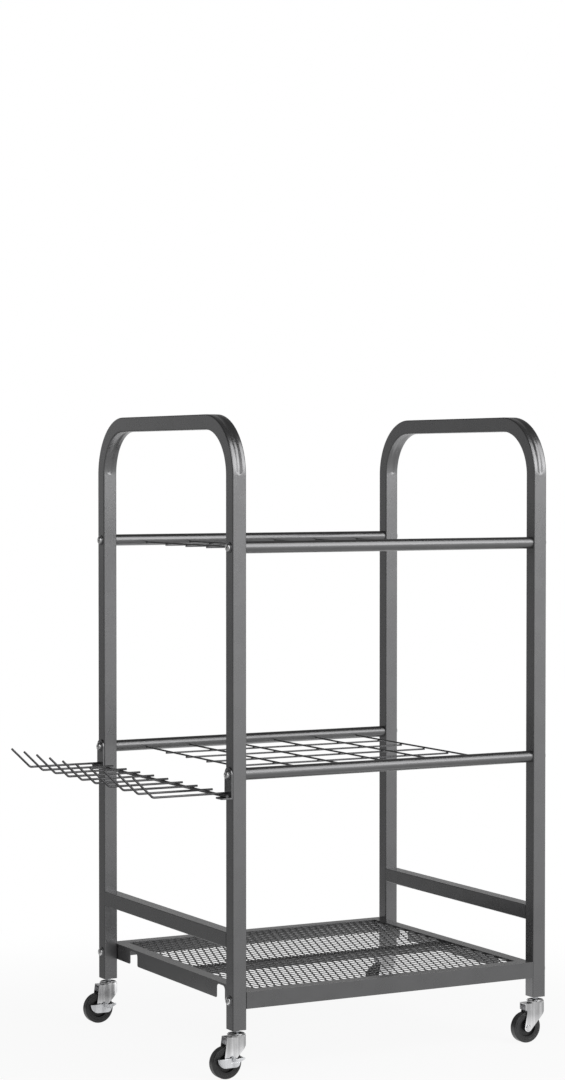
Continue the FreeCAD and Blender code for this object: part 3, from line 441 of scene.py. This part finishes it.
def walls(shape, loops):
    """Walls between each closed loop of points and the next; a loop of one point closes the end."""
    for lower, upper in zip(loops, loops[1:]):
        for i in range(max(len(lower), len(upper))):
            j = i + 1
            corners = [lower[i % len(lower)], lower[j % len(lower)],
                       upper[j % len(upper)], upper[i % len(upper)]]
            shape.faces.new(list(dict.fromkeys(corners)))


# Side frames: square tube bent at the top, its outer and inner walls dished along each bend

WALL = 1.2 * MM
CORNER = 1.6 * MM              # outer radius of the tube's own edges
CORNER_STEPS = 4
BEND = 70.0 * MM               # centre line of the bend
BEND_LENGTH = BEND * math.pi / 2
BEND_STEPS = 44
FINE_STEP = 0.9 * MM           # near both ends of a bend, where the dish starts
FINE_STEPS = 13
DISH_HALF = 5.2 * MM
DISH_SIDE = 4.6 * MM           # width of its sloping side
DISH_DEPTH = 0.85 * MM
DISH_START = 0.6 * MM          # past the start of the bend
DISH_FADE = 3.12 * MM          # length over which it reaches its depth
DISH_POINTS = 19
HOLD = 0.2 * MM                # between two rows of points that keep a flat wall flat


def smooth_step(value):
    value = min(1.0, max(0.0, value))
    return value * value * (3 - 2 * value)


def dish(across, run):
    """Depth of the dish at a place across the wall, run metres inside the nearer end of the bend."""
    if run is None or run <= DISH_START:
        return 0.0
    run -= DISH_START
    half = DISH_HALF
    if run < half:
        half = math.sqrt(half * half - (half - run) ** 2)
    return DISH_DEPTH * smooth_step((half - abs(across)) / DISH_SIDE) * smooth_step(run / DISH_FADE)


def tube_outline(half, radius, run):
    """Closed outline across the tube: (across, outward). Run is None where the tube is straight."""
    centre = half - radius
    guard = centre - 0.15 * MM
    across = [-guard] + evenly(-DISH_HALF, DISH_HALF, DISH_POINTS) + [guard]
    dished = [(u, half - dish(u, run)) for u in across]
    corner = [(centre + radius * math.cos(a), centre + radius * math.sin(a))
              for a in evenly(0.0, math.pi / 2, CORNER_STEPS + 1)]
    inner_half = [(u, -v) for u, v in dished] + [(u, -v) for u, v in reversed(corner)] + [(half, -guard)]
    outer_half = [(half, guard)] + corner + dished[::-1] + [(-u, v) for u, v in reversed(corner)]
    return inner_half + outer_half + [(-half, guard), (-half, -guard)] + [(-u, -v) for u, v in corner]


def frame_stations():
    """Places along a side frame, from the front foot over the top: (centre y, z, outward y, z, run)."""
    spring = TOP - HALF - BEND
    fine = [FINE_STEP * i for i in range(FINE_STEPS)]
    runs = fine + evenly(FINE_STEP * FINE_STEPS, BEND_LENGTH - FINE_STEP * FINE_STEPS, BEND_STEPS + 1)
    runs += [BEND_LENGTH - run for run in reversed(fine)]
    straight = (LEG_FOOT, LEG_FOOT + HOLD, spring - HOLD)
    stations = [(LEG_Y["front"], z, -1.0, 0.0, None) for z in straight]
    for leg_y, out, along in ((LEG_Y["front"], -1.0, runs), (LEG_Y["back"], 1.0, runs[::-1])):
        for run in along:
            turn = run / BEND
            stations.append((leg_y - out * BEND * (1 - math.cos(turn)), spring + BEND * math.sin(turn),
                             out * math.cos(turn), math.sin(turn), min(run, BEND_LENGTH - run)))
    return stations + [(LEG_Y["back"], z, 1.0, 0.0, None) for z in reversed(straight)]


def tube_skin(shape, x, half, radius):
    """Inner or outer face of a bent tube; returns its two end loops."""
    loops = [[shape.verts.new((x + u, y + out_y * v, z + out_z * v))
              for u, v in tube_outline(half, radius, run)]
             for y, z, out_y, out_z, run in frame_stations()]
    walls(shape, loops)
    return loops[0], loops[-1]


def side_frame(side):
    """Hollow bent tube, open at both feet."""
    shape = bmesh.new()
    outer = tube_skin(shape, LEG_X[side], HALF, CORNER)
    inner = tube_skin(shape, LEG_X[side], HALF - WALL, CORNER - WALL)
    for ends in zip(outer, inner):
        walls(shape, ends)
    bmesh.ops.remove_doubles(shape, verts=shape.verts, dist=0.0001 * MM)
    node = "side_frame_" + side
    weighted(new_piece(node + "_bent_tube", own_mesh(shape, node), node))


# Geometry Nodes

def geometry_tree(name, inputs):
    """Tree whose shape comes out at Geometry, in the material given as Finish."""
    return new_tree(name, "GeometryNodeTree", inputs + [("Finish", FINISH, None)], [("Geometry", SHAPE)])


def ended(t, given, gives, shape):
    """End a tree with plain geometry in its finish."""
    real = t.make("GeometryNodeRealizeInstances", {"Geometry": shape})
    coated = t.make("GeometryNodeSetMaterial", {"Geometry": real, "Material": given["Finish"]})
    t.link(coated, gives["Geometry"])
    return t.tree


def grown(name, tree, values):
    """Run a tree on an empty mesh, and keep its result as a plain mesh."""
    seed = bpy.data.objects.new(name + "_seed", bpy.data.meshes.new(name + "_seed"))
    bpy.context.scene.collection.objects.link(seed)
    modifier = seed.modifiers.new("grow", "NODES")
    modifier.node_group = tree
    for item in tree.interface.items_tree:
        if item.in_out == "INPUT":
            modifier[item.identifier] = values[item.name]
    bpy.context.view_layer.update()
    depsgraph = bpy.context.evaluated_depsgraph_get()
    mesh = bpy.data.meshes.new_from_object(seed.evaluated_get(depsgraph), depsgraph=depsgraph)
    seed.modifiers.remove(modifier)
    bpy.data.objects.remove(seed)
    mesh.name = name
    return mesh


def repeating_tree():
    """One source shape at every spot, turned to the spot's aim, with its own twist and size."""
    t, given, gives = geometry_tree("repeated fittings", [
        ("Spots", THING, None), ("Source", THING, None),
        ("Twist", FLOAT, 0.0), ("Size spread", FLOAT, 0.0), ("Seed", WHOLE, 0)])

    def shape_of(thing):
        return t.make("GeometryNodeObjectInfo", {"Object": thing}, "Geometry")

    def drawn(low, high, seed):
        return t.make("FunctionNodeRandomValue", {2: low, 3: high, 8: seed}, 1, data_type="FLOAT")

    aim = t.make("GeometryNodeInputNamedAttribute", {"Name": "aim"}, "Attribute", data_type="FLOAT_VECTOR")
    facing = t.make("FunctionNodeAlignRotationToVector", {"Vector": aim}, axis="Z")
    twist = drawn(t.math("MULTIPLY", given["Twist"], -1.0), given["Twist"], given["Seed"])
    about = t.make("FunctionNodeAxisAngleToRotation", {"Axis": UP, "Angle": twist})
    turn = t.make("FunctionNodeRotateRotation", {"Rotation": facing, "Rotate By": about},
                  rotation_space="LOCAL")
    size = drawn(t.math("SUBTRACT", 1.0, given["Size spread"]), t.math("ADD", 1.0, given["Size spread"]),
                 t.math("ADD", given["Seed"], 1.0))
    placed = t.make("GeometryNodeInstanceOnPoints", {
        "Points": shape_of(given["Spots"]), "Instance": shape_of(given["Source"]),
        "Rotation": turn, "Scale": size})
    return ended(t, given, gives, placed)


REPEATING = repeating_tree()


def repeat(name, node, source_mesh, spots, twist=0.0, spread=0.0, seed=7, stands_for=True):
    """Repeat a mesh at spots, each a (place, aim), as one piece in a node's finish."""
    marks = bpy.data.meshes.new(name + "_spots")
    marks.from_pydata([tuple(place) for place, aim in spots], [], [])
    aims = marks.attributes.new("aim", "FLOAT_VECTOR", "POINT")
    for mark, (place, aim) in zip(aims.data, spots):
        mark.vector = aim
    helpers = [bpy.data.objects.new(name + "_spots", marks),
               bpy.data.objects.new(name + "_source", source_mesh)]
    for helper in helpers:
        bpy.context.scene.collection.objects.link(helper)
    mesh = grown(name, REPEATING, {
        "Spots": helpers[0], "Source": helpers[1], "Finish": finish_of(node),
        "Twist": twist, "Size spread": spread, "Seed": seed})
    for helper in helpers:
        bpy.data.objects.remove(helper)
    new_piece(name, mesh, node, stands_for)


# Expanded-metal floor of the tray

SHORT_WAY = 11.0 * MM          # diamond across the rack
LONG_WAY = 30.6 * MM           # diamond from front to back
STRAND_WIDTH = 2.4 * MM
STRAND_THICK = 0.9 * MM
MESH_RAISE = 1.9 * MM          # middle of the strands above the bottom of the flat sheet
STRAND_TILT = math.radians(30)
BOND_TILT = math.radians(15)
BOND_SHARE = 0.28              # of a half diamond, at each end of a strand
STEPS = 4                      # points of a strand from one bond to the next


def expanded_metal_tree():
    """Slit and stretched sheet: zigzag strands side by side that meet at short, flatter bonds."""
    t, given, gives = geometry_tree("expanded metal", [
        ("Strands", WHOLE, 10), ("Half diamonds", WHOLE, 10), ("Start", VECTOR, None),
        ("Short way", FLOAT, 0.01), ("Long way", FLOAT, 0.03), ("Swing", FLOAT, 0.001),
        ("Width", FLOAT, 0.002), ("Thickness", FLOAT, 0.001), ("Bond share", FLOAT, 0.15),
        ("Strand tilt", FLOAT, 0.9), ("Bond tilt", FLOAT, 0.6)])

    def counted(index, group):
        """Whole groups before a point, and its number in its own group."""
        whole = t.math("FLOOR", t.math("DIVIDE", t.math("ADD", index, 0.5), group))
        return whole, t.math("SUBTRACT", index, t.math("MULTIPLY", whole, group))

    per_strand = t.math("ADD", t.math("MULTIPLY", given["Half diamonds"], STEPS), 1.0)
    strand, step = counted(t.make("GeometryNodeInputIndex"), per_strand)
    bond, part = counted(step, STEPS)
    is_middle = t.math("COMPARE", part, 2.0)
    after_bond = t.math("MULTIPLY", t.math("COMPARE", part, 1.0), given["Bond share"])
    before_bond = t.math("MULTIPLY", t.math("COMPARE", part, 3.0),
                         t.math("SUBTRACT", 1.0, given["Bond share"]))
    share = t.math("ADD", after_bond, t.math("MULTIPLY", is_middle, 0.5), before_bond)
    odd = t.math("FLOOR", t.math("MODULO", t.math("ADD", strand, bond, 0.5), 2.0))
    sign = t.math("SUBTRACT", 1.0, t.math("MULTIPLY", odd, 2.0))
    lean = t.math("SUBTRACT", t.math("LESS_THAN", part, 1.5), t.math("GREATER_THAN", part, 2.5))
    x = t.math("ADD", t.math("MULTIPLY", strand, t.math("MULTIPLY", given["Short way"], 0.5)),
               t.math("MULTIPLY", sign, lean, given["Swing"]))
    y = t.math("MULTIPLY", t.math("ADD", bond, share), t.math("MULTIPLY", given["Long way"], 0.5))
    place = t.vector("ADD", t.make("ShaderNodeCombineXYZ", {"X": x, "Y": y}), given["Start"])
    points = t.make("GeometryNodePoints", {
        "Count": t.math("MULTIPLY", given["Strands"], per_strand), "Position": place})
    lines = t.make("GeometryNodePointsToCurves", {"Points": points, "Curve Group ID": strand})
    upright = t.make("GeometryNodeSetCurveNormal", {"Curve": lines}, mode="Z_UP")
    more = t.math("MULTIPLY", is_middle, t.math("SUBTRACT", given["Strand tilt"], given["Bond tilt"]))
    tilted = t.make("GeometryNodeSetCurveTilt", {
        "Curve": upright, "Tilt": t.math("ADD", given["Bond tilt"], more)})
    section = t.make("GeometryNodeCurvePrimitiveQuadrilateral", {
        "Width": given["Width"], "Height": given["Thickness"]})
    sheet = t.make("GeometryNodeCurveToMesh", {
        "Curve": tilted, "Profile Curve": section, "Fill Caps": True})
    return ended(t, given, gives, sheet)


def expanded_metal():
    """Mesh floor, centred in the flat sheet's place and kept inside its border."""
    low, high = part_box("tray_mesh_floor")
    strands = int((high.x - low.x - STRAND_WIDTH) / (SHORT_WAY / 2))
    halves = int((high.y - low.y) / (LONG_WAY / 2))
    centre = (low + high) / 2
    start = (centre.x - (strands - 1) * SHORT_WAY / 4, centre.y - halves * LONG_WAY / 4, low.z + MESH_RAISE)
    seen_width = STRAND_WIDTH * math.cos(BOND_TILT) + STRAND_THICK * math.sin(BOND_TILT)
    mesh = grown("tray_expanded_mesh", expanded_metal_tree(), {
        "Strands": strands, "Half diamonds": halves, "Start": start, "Short way": SHORT_WAY,
        "Long way": LONG_WAY, "Swing": (SHORT_WAY / 2 - seen_width) / 2, "Width": STRAND_WIDTH,
        "Thickness": STRAND_THICK, "Bond share": BOND_SHARE, "Strand tilt": STRAND_TILT,
        "Bond tilt": BOND_TILT, "Finish": TRAY_PAINT})
    new_piece("tray_expanded_mesh", mesh, "tray_mesh_floor")


# Screws and washers

HEAD_HEIGHT = 3.2 * MM
HEAD_RADIUS = 5.25 * MM
HEAD_BRIM = 0.8 * MM           # height of the upright rim below the dome
HEAD_CROWN = 2.9 * MM          # radius of the flat at the top
HEAD_SPOKES = 24
SOCKET_FLATS = 4.0 * MM
SOCKET_DEEP = 1.8 * MM
WASHER_THICK = 1.0 * MM
WASHER_BORE = 3.2 * MM
WASHER_RIM = 7.0 * MM
WASHER_ROLL = 0.3 * MM
WASHER_SPOKES = 28


def button_head():
    """Domed head with a hexagon socket; it faces +Z from its seat at zero."""
    shape = bmesh.new()
    edge = 0.15 * MM
    rings = [(0.0, HEAD_RADIUS - edge), (edge, HEAD_RADIUS), (HEAD_BRIM - edge, HEAD_RADIUS)]
    rings += [(HEAD_BRIM + (HEAD_HEIGHT - HEAD_BRIM) * math.sin(a),
               HEAD_CROWN + (HEAD_RADIUS - HEAD_CROWN) * math.cos(a)) for a in evenly(0.0, math.pi / 2, 6)]
    loops = [[shape.verts.new((0.0, 0.0, 0.0))]]
    loops += [circle(shape, height, radius, HEAD_SPOKES) for height, radius in rings]
    for depth, flats in ((0.1 * MM, SOCKET_FLATS + 0.2 * MM), (0.3 * MM, SOCKET_FLATS),
                         (SOCKET_DEEP, SOCKET_FLATS)):
        loop = []
        for a in angles(HEAD_SPOKES):
            reach = flats / 2 / math.cos((a + math.pi / 6) % (math.pi / 3) - math.pi / 6)
            loop.append(shape.verts.new((reach * math.cos(a), reach * math.sin(a), HEAD_HEIGHT - depth)))
        loops.append(loop)
    loops.append([shape.verts.new((0.0, 0.0, HEAD_HEIGHT - SOCKET_DEEP - 0.5 * MM))])
    walls(shape, loops)
    return own_mesh(shape, "button_head", 40.0)


def flat_washer():
    """Stamped washer, a little rolled over at its rim; it faces +Z from its seat at zero."""
    shape = bmesh.new()
    edge = 0.15 * MM
    burr = 0.1 * MM
    outline = [(0.0, WASHER_BORE), (0.0, WASHER_RIM - burr), (burr, WASHER_RIM),
               (WASHER_THICK - WASHER_ROLL, WASHER_RIM),
               (WASHER_THICK - 0.3 * WASHER_ROLL, WASHER_RIM - 0.3 * WASHER_ROLL),
               (WASHER_THICK, WASHER_RIM - WASHER_ROLL), (WASHER_THICK, WASHER_BORE + edge),
               (WASHER_THICK - edge, WASHER_BORE)]
    loops = [circle(shape, height, radius, WASHER_SPOKES) for height, radius in outline]
    walls(shape, loops + loops[:1])
    return own_mesh(shape, "flat_washer", 40.0)


def screw_seats(node, thickness):
    """Where each fitting of a node sits on its frame, from the node's own shells: (place, aim)."""
    shape = merged_shells(node)
    middle = (LEG_X["left"] + LEG_X["right"]) / 2
    seen = set()
    seats = []
    for first in shape.verts:
        if first in seen:
            continue
        seen.add(first)
        shell = [first]
        for vert in shell:
            for edge in vert.link_edges:
                other = edge.other_vert(vert)
                if other not in seen:
                    seen.add(other)
                    shell.append(other)
        low = Vector([min(vert.co[axis] for vert in shell) for axis in range(3)])
        high = Vector([max(vert.co[axis] for vert in shell) for axis in range(3)])
        place = (low + high) / 2
        outward = -1.0 if place.x < middle else 1.0
        place.x = (low.x if outward < 0 else high.x) - outward * thickness
        seats.append((place, Vector((outward, 0.0, 0.0))))
    shape.free()
    return seats


def screws_and_washers():
    """Heads and washers at the outer faces of the side frames."""
    head = button_head()
    for kind in ("rail", "tray"):
        node = kind + "_screws"
        repeat(kind + "_screw_heads", node, head, screw_seats(node, HEAD_HEIGHT), twist=math.pi, seed=11)
    repeat("screw_washers_stamped", "screw_washers", flat_washer(),
           screw_seats("screw_washers", WASHER_THICK), twist=math.pi, seed=12)


# Welds of the grids

CROSSING_BEAD = (1.7 * MM, 1.7 * MM, 0.8 * MM)          # half sizes
WIRE_END_BEAD = (1.9 * MM, 1.6 * MM, 1.5 * MM)
HOOK_BEAD = (1.9 * MM, 2.0 * MM, 0.9 * MM)
GRID_WIRE = 1.25 * MM          # radius
GRID_COLUMNS = 6
GRID_ROWS = 5


def weld_bead(half_sizes):
    """Small flattened blob of weld."""
    shape = bmesh.new()
    bmesh.ops.create_icosphere(shape, subdivisions=2, radius=1.0, matrix=Matrix.Diagonal((*half_sizes, 1.0)))
    return own_mesh(shape, "weld_bead", 180.0)


def grid_welds(level):
    """Beads where the wires of a grid cross, and where their ends meet the rails."""
    node = level + "_grid_depth_wires"
    depth_low, depth_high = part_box(level + "_grid_depth_wires")
    cross_low, cross_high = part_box(level + "_grid_cross_wires")
    columns = evenly(depth_low.x + GRID_WIRE, depth_high.x - GRID_WIRE, GRID_COLUMNS)
    rows = evenly(cross_low.y + GRID_WIRE, cross_high.y - GRID_WIRE, GRID_ROWS)
    crossings = [(Vector((x, y, depth_low.z)), UP) for x in columns for y in rows]
    repeat(level + "_grid_spot_welds", node, weld_bead(CROSSING_BEAD), crossings,
           twist=math.pi, spread=0.18, seed=21, stands_for=False)
    height = (depth_low.z + depth_high.z) / 2
    ends = [(Vector((x, y, height)), UP) for x in columns for y in (depth_low.y, depth_high.y)]
    repeat(level + "_grid_end_welds", node, weld_bead(WIRE_END_BEAD), ends,
           spread=0.12, seed=22, stands_for=False)


# Hooks

HOOK_WIRE = 1.5 * MM           # radius
HOOK_BEND = 6.0 * MM
HOOK_BEND_STEPS = 12
HOOK_ANGLE = math.radians(44)
HOOK_TIP = 38.8 * MM           # from the corner to the end of the wire
HOOK_REACH = 109.0 * MM        # from the side frame to the corner
HOOK_COUNT = 10
HOOK_SPOKES = 16
ROUNDING = ((0.0, 1.0), (0.3, 0.95), (0.55, 0.8), (0.75, 0.55))     # of an end: (share along, width)
CUT_END = 0.4 * MM             # along, for the end at the bar; the tip takes the wire's radius


def hook_mesh(start, corner, height):
    """Level wire from start to its corner, bent up to a rounded end."""
    setback = HOOK_BEND * math.tan(HOOK_ANGLE / 2)
    path = [(start, height, 0.0)]
    path += [(corner + setback - HOOK_BEND * math.sin(a), height + HOOK_BEND * (1 - math.cos(a)), a)
             for a in evenly(0.0, HOOK_ANGLE, HOOK_BEND_STEPS + 1)]
    x, z, a = path[-1]
    run = HOOK_TIP - setback
    path.append((x - run * math.cos(a), z + run * math.sin(a), a))
    stops = [(path[0], -share * CUT_END, width) for share, width in reversed(ROUNDING)]
    stops += [(stop, 0.0, 1.0) for stop in path[1:-1]]
    stops += [(path[-1], (share - ROUNDING[-1][0]) * HOOK_WIRE, width) for share, width in ROUNDING]
    shape = bmesh.new()
    loops = []
    for (x, z, a), ahead, width in stops:
        centre = Vector((x - ahead * math.cos(a), 0.0, z + ahead * math.sin(a)))
        across = HOOK_WIRE * width * Vector((math.sin(a), 0.0, math.cos(a)))
        aside = HOOK_WIRE * width * Vector((0.0, 1.0, 0.0))
        loops.append([shape.verts.new(centre + across * math.cos(b) + aside * math.sin(b))
                      for b in angles(HOOK_SPOKES)])
    walls(shape, loops)
    shape.faces.new(loops[0])
    shape.faces.new(loops[-1])
    return own_mesh(shape, "hook")


def hooks():
    """Row of hooks, with a weld bead on the bar at each of them."""
    low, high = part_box("hook_wires")
    bar_low, bar_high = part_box("hook_bar")
    hook = hook_mesh(high.x, LEFT_LOW.x - HOOK_REACH, low.z + HOOK_WIRE)
    rows = evenly(low.y + HOOK_WIRE, high.y - HOOK_WIRE, HOOK_COUNT)
    repeat("hook_wires_bent", "hook_wires", hook, [(Vector((0.0, y, 0.0)), UP) for y in rows])
    bar_x = (bar_low.x + bar_high.x) / 2
    repeat("hook_wire_welds", "hook_wires", weld_bead(HOOK_BEAD),
           [(Vector((bar_x, y, bar_high.z)), UP) for y in rows],
           twist=0.5, spread=0.15, seed=31, stands_for=False)


# The whole rack

for side in SIDES:
    side_frame(side)
    smoothed("lower_crossbar_" + side)
for level in LEVELS:
    for depth in DEPTHS:
        smoothed(level + "_rail_" + depth)
    for way in ("depth", "cross"):
        smoothed(level + "_grid_" + way + "_wires")
    grid_welds(level)
expanded_metal()
softened("tray_pan", 0.6 * MM)
softened("tray_stiffener", 0.5 * MM)
screws_and_washers()
hooks()
smoothed("hook_bar")
for depth in DEPTHS:
    softened("hook_bracket_" + depth, 0.35 * MM)
for node in ("caster_top_races", "caster_stems", "caster_bearing_rings"):
    smoothed(node)
for depth, side in LEGS:
    corner = "_" + depth + "_" + side
    softened("caster_fork" + corner, 0.4 * MM, 3)
    for node in ("wheel_axle", "wheel_tyre", "wheel_hub"):
        smoothed(node + corner)
    if side == "left":
        softened("brake_lever" + corner, 0.3 * MM)
        smoothed("brake_rivet" + corner)


# Studio: floor, background, lamps and camera

WHITE = (1.0, 1.0, 1.0, 1.0)
FRONT_PANEL = 30.0             # azimuth of the white panel that the front faces mirror
DARK_WALL = -62.0              # azimuth of the darker wall at the left
BACKDROP_WAY = (0.469, 0.883, 0.0)          # towards the pale backdrop behind the rack
BACK_GROUND_WAY = (0.75, 0.66, 0.0)         # towards the pale ground before that backdrop
ROOM_LIGHT = 0.32              # even light on everything, which neither metal nor camera sees
LAMP_AIM = Vector((0.07, 0.0, 0.45))


def heading(azimuth):
    """Level direction; azimuth 0 is straight in front of the rack, growing to its right."""
    a = math.radians(azimuth)
    return Vector((math.sin(a), -math.cos(a), 0.0))


def mirroring(t, rays):
    """One for the rays that metal or glass sends out, zero for all others."""
    return t.math("MAXIMUM", rays["Is Glossy Ray"], rays["Is Transmission Ray"])


def from_legs(t, place):
    """Distance from the nearest leg to a place on the ground."""
    middle = Vector(((LEG_X["left"] + LEG_X["right"]) / 2, (LEG_Y["front"] + LEG_Y["back"]) / 2, 0.0))
    spread = Vector((LEG_X["right"] - middle.x, LEG_Y["back"] - middle.y, 0.0))
    folded = t.vector("ABSOLUTE", t.vector("SUBTRACT", place, middle))
    return t.vector("LENGTH", t.vector("SUBTRACT", folded, spread))


def floor():
    """Pale ground that fades to plain white away from the rack; metal mirrors it brighter or darker."""
    bpy.ops.mesh.primitive_plane_add(size=40.0, location=(0.0, 0.0, 0.0))
    ground = bpy.context.object
    ground.name = "floor"
    material = bpy.data.materials.new("pale floor")
    t = emptied(material)
    rays = t.node("ShaderNodeLightPath").outputs
    place = t.make("ShaderNodeTexCoord", output="Object")
    reach = t.vector("LENGTH", place)
    way = t.vector("NORMALIZE", place)
    front = t.spread(t.vector("DOT_PRODUCT", way, heading(FRONT_PANEL)), 0.35, 0.8)
    ahead = t.math("MULTIPLY", front, t.spread(reach, 0.6, 5.0, 0.32, 0.72))
    behind = t.spread(t.vector("DOT_PRODUCT", way, BACK_GROUND_WAY), 0.6, 0.9, 0.0, 0.85)
    near_leg = t.spread(from_legs(t, place), 0.14, 0.2, 0.55, 0.0)
    mirrored = t.math("ADD", ahead, behind, near_leg, 0.22)
    in_metal = mirroring(t, rays)
    glow = t.make("ShaderNodeEmission", {
        "Color": WHITE,
        "Strength": t.math("ADD", t.math("MULTIPLY", mirrored, in_metal), rays["Is Camera Ray"])})
    seen = t.math("MULTIPLY", rays["Is Camera Ray"], t.spread(reach, 0.35, 0.95, 0.92, 1.0))
    share = t.math("MAXIMUM", seen, t.math("MULTIPLY", in_metal, 0.85))
    lit = t.make("ShaderNodeBsdfDiffuse", {"Color": (0.8, 0.8, 0.8, 1.0)})
    t.node("ShaderNodeOutputMaterial", {"Surface": t.blend(share, lit, glow)})
    ground.data.materials.append(material)


def world():
    """White backdrop for the camera; metal sees it too, between darker walls; a grey room otherwise."""
    made = bpy.data.worlds.new("studio")
    bpy.context.scene.world = made
    t = emptied(made)
    rays = t.node("ShaderNodeLightPath").outputs
    way = t.make("ShaderNodeTexCoord", output="Generated")
    height = t.vector("DOT_PRODUCT", way, UP)
    front = t.spread(t.vector("DOT_PRODUCT", way, heading(FRONT_PANEL)), 0.62, 0.86)
    behind = t.spread(t.vector("DOT_PRODUCT", way, BACKDROP_WAY), 0.55, 0.85)
    gloom = t.spread(t.vector("DOT_PRODUCT", way, heading(DARK_WALL)), 0.45, 0.85, 1.0, 0.5)
    panels = t.math("MAXIMUM", t.math("MULTIPLY", front, t.spread(height, 0.3, 0.65, 1.0, 0.0)),
                    t.math("MULTIPLY", behind, t.spread(height, 0.05, 0.18, 0.85, 0.12)))
    walls_between = t.math("MULTIPLY", t.spread(height, 0.0, 0.6, 0.27, 0.03), gloom,
                           t.math("SUBTRACT", 1.0, panels))

    def background(strength):
        return t.make("ShaderNodeBackground", {"Color": WHITE, "Strength": strength})

    surroundings = t.blend(mirroring(t, rays), background(ROOM_LIGHT),
                           background(t.math("ADD", panels, walls_between)))
    t.node("ShaderNodeOutputWorld", {
        "Surface": t.blend(rays["Is Camera Ray"], surroundings, background(1.0))})


def lamp(name, azimuth, elevation, distance, size, power):
    """Soft box that looks at the rack; azimuth as for heading."""
    data = bpy.data.lights.new(name, "AREA")
    data.shape = "RECTANGLE"
    data.size, data.size_y = size
    data.energy = power
    box = bpy.data.objects.new(name, data)
    bpy.context.scene.collection.objects.link(box)
    rise = math.radians(elevation)
    box.location = LAMP_AIM + distance * (heading(azimuth) * math.cos(rise) + UP * math.sin(rise))
    box.rotation_euler = (LAMP_AIM - box.location).to_track_quat("-Z", "Y").to_euler()


def camera():
    """The photograph's viewpoint, fitted to the rack's straight edges."""
    data = bpy.data.cameras.new("camera")
    data.sensor_fit = "VERTICAL"
    data.sensor_height = 36.0
    data.lens = 88.87
    data.clip_end = 100.0
    viewer = bpy.data.objects.new("camera", data)
    bpy.context.scene.collection.objects.link(viewer)
    yaw, pitch = math.radians(28.318), math.radians(-1.541)
    viewer.location = (LEFT_LOW.x - 1.56214, FRONT - 3.03348, 0.78651)
    viewer.rotation_euler = (math.pi / 2 + pitch, 0.0, -yaw)
    bpy.context.scene.camera = viewer


floor()
world()
lamp("key", azimuth=32.0, elevation=35.0, distance=2.4, size=(1.4, 2.0), power=20.0)
lamp("fill", azimuth=-30.0, elevation=34.0, distance=2.8, size=(1.3, 1.3), power=11.0)
camera()
bpy.context.scene.view_settings.view_transform = "Standard"
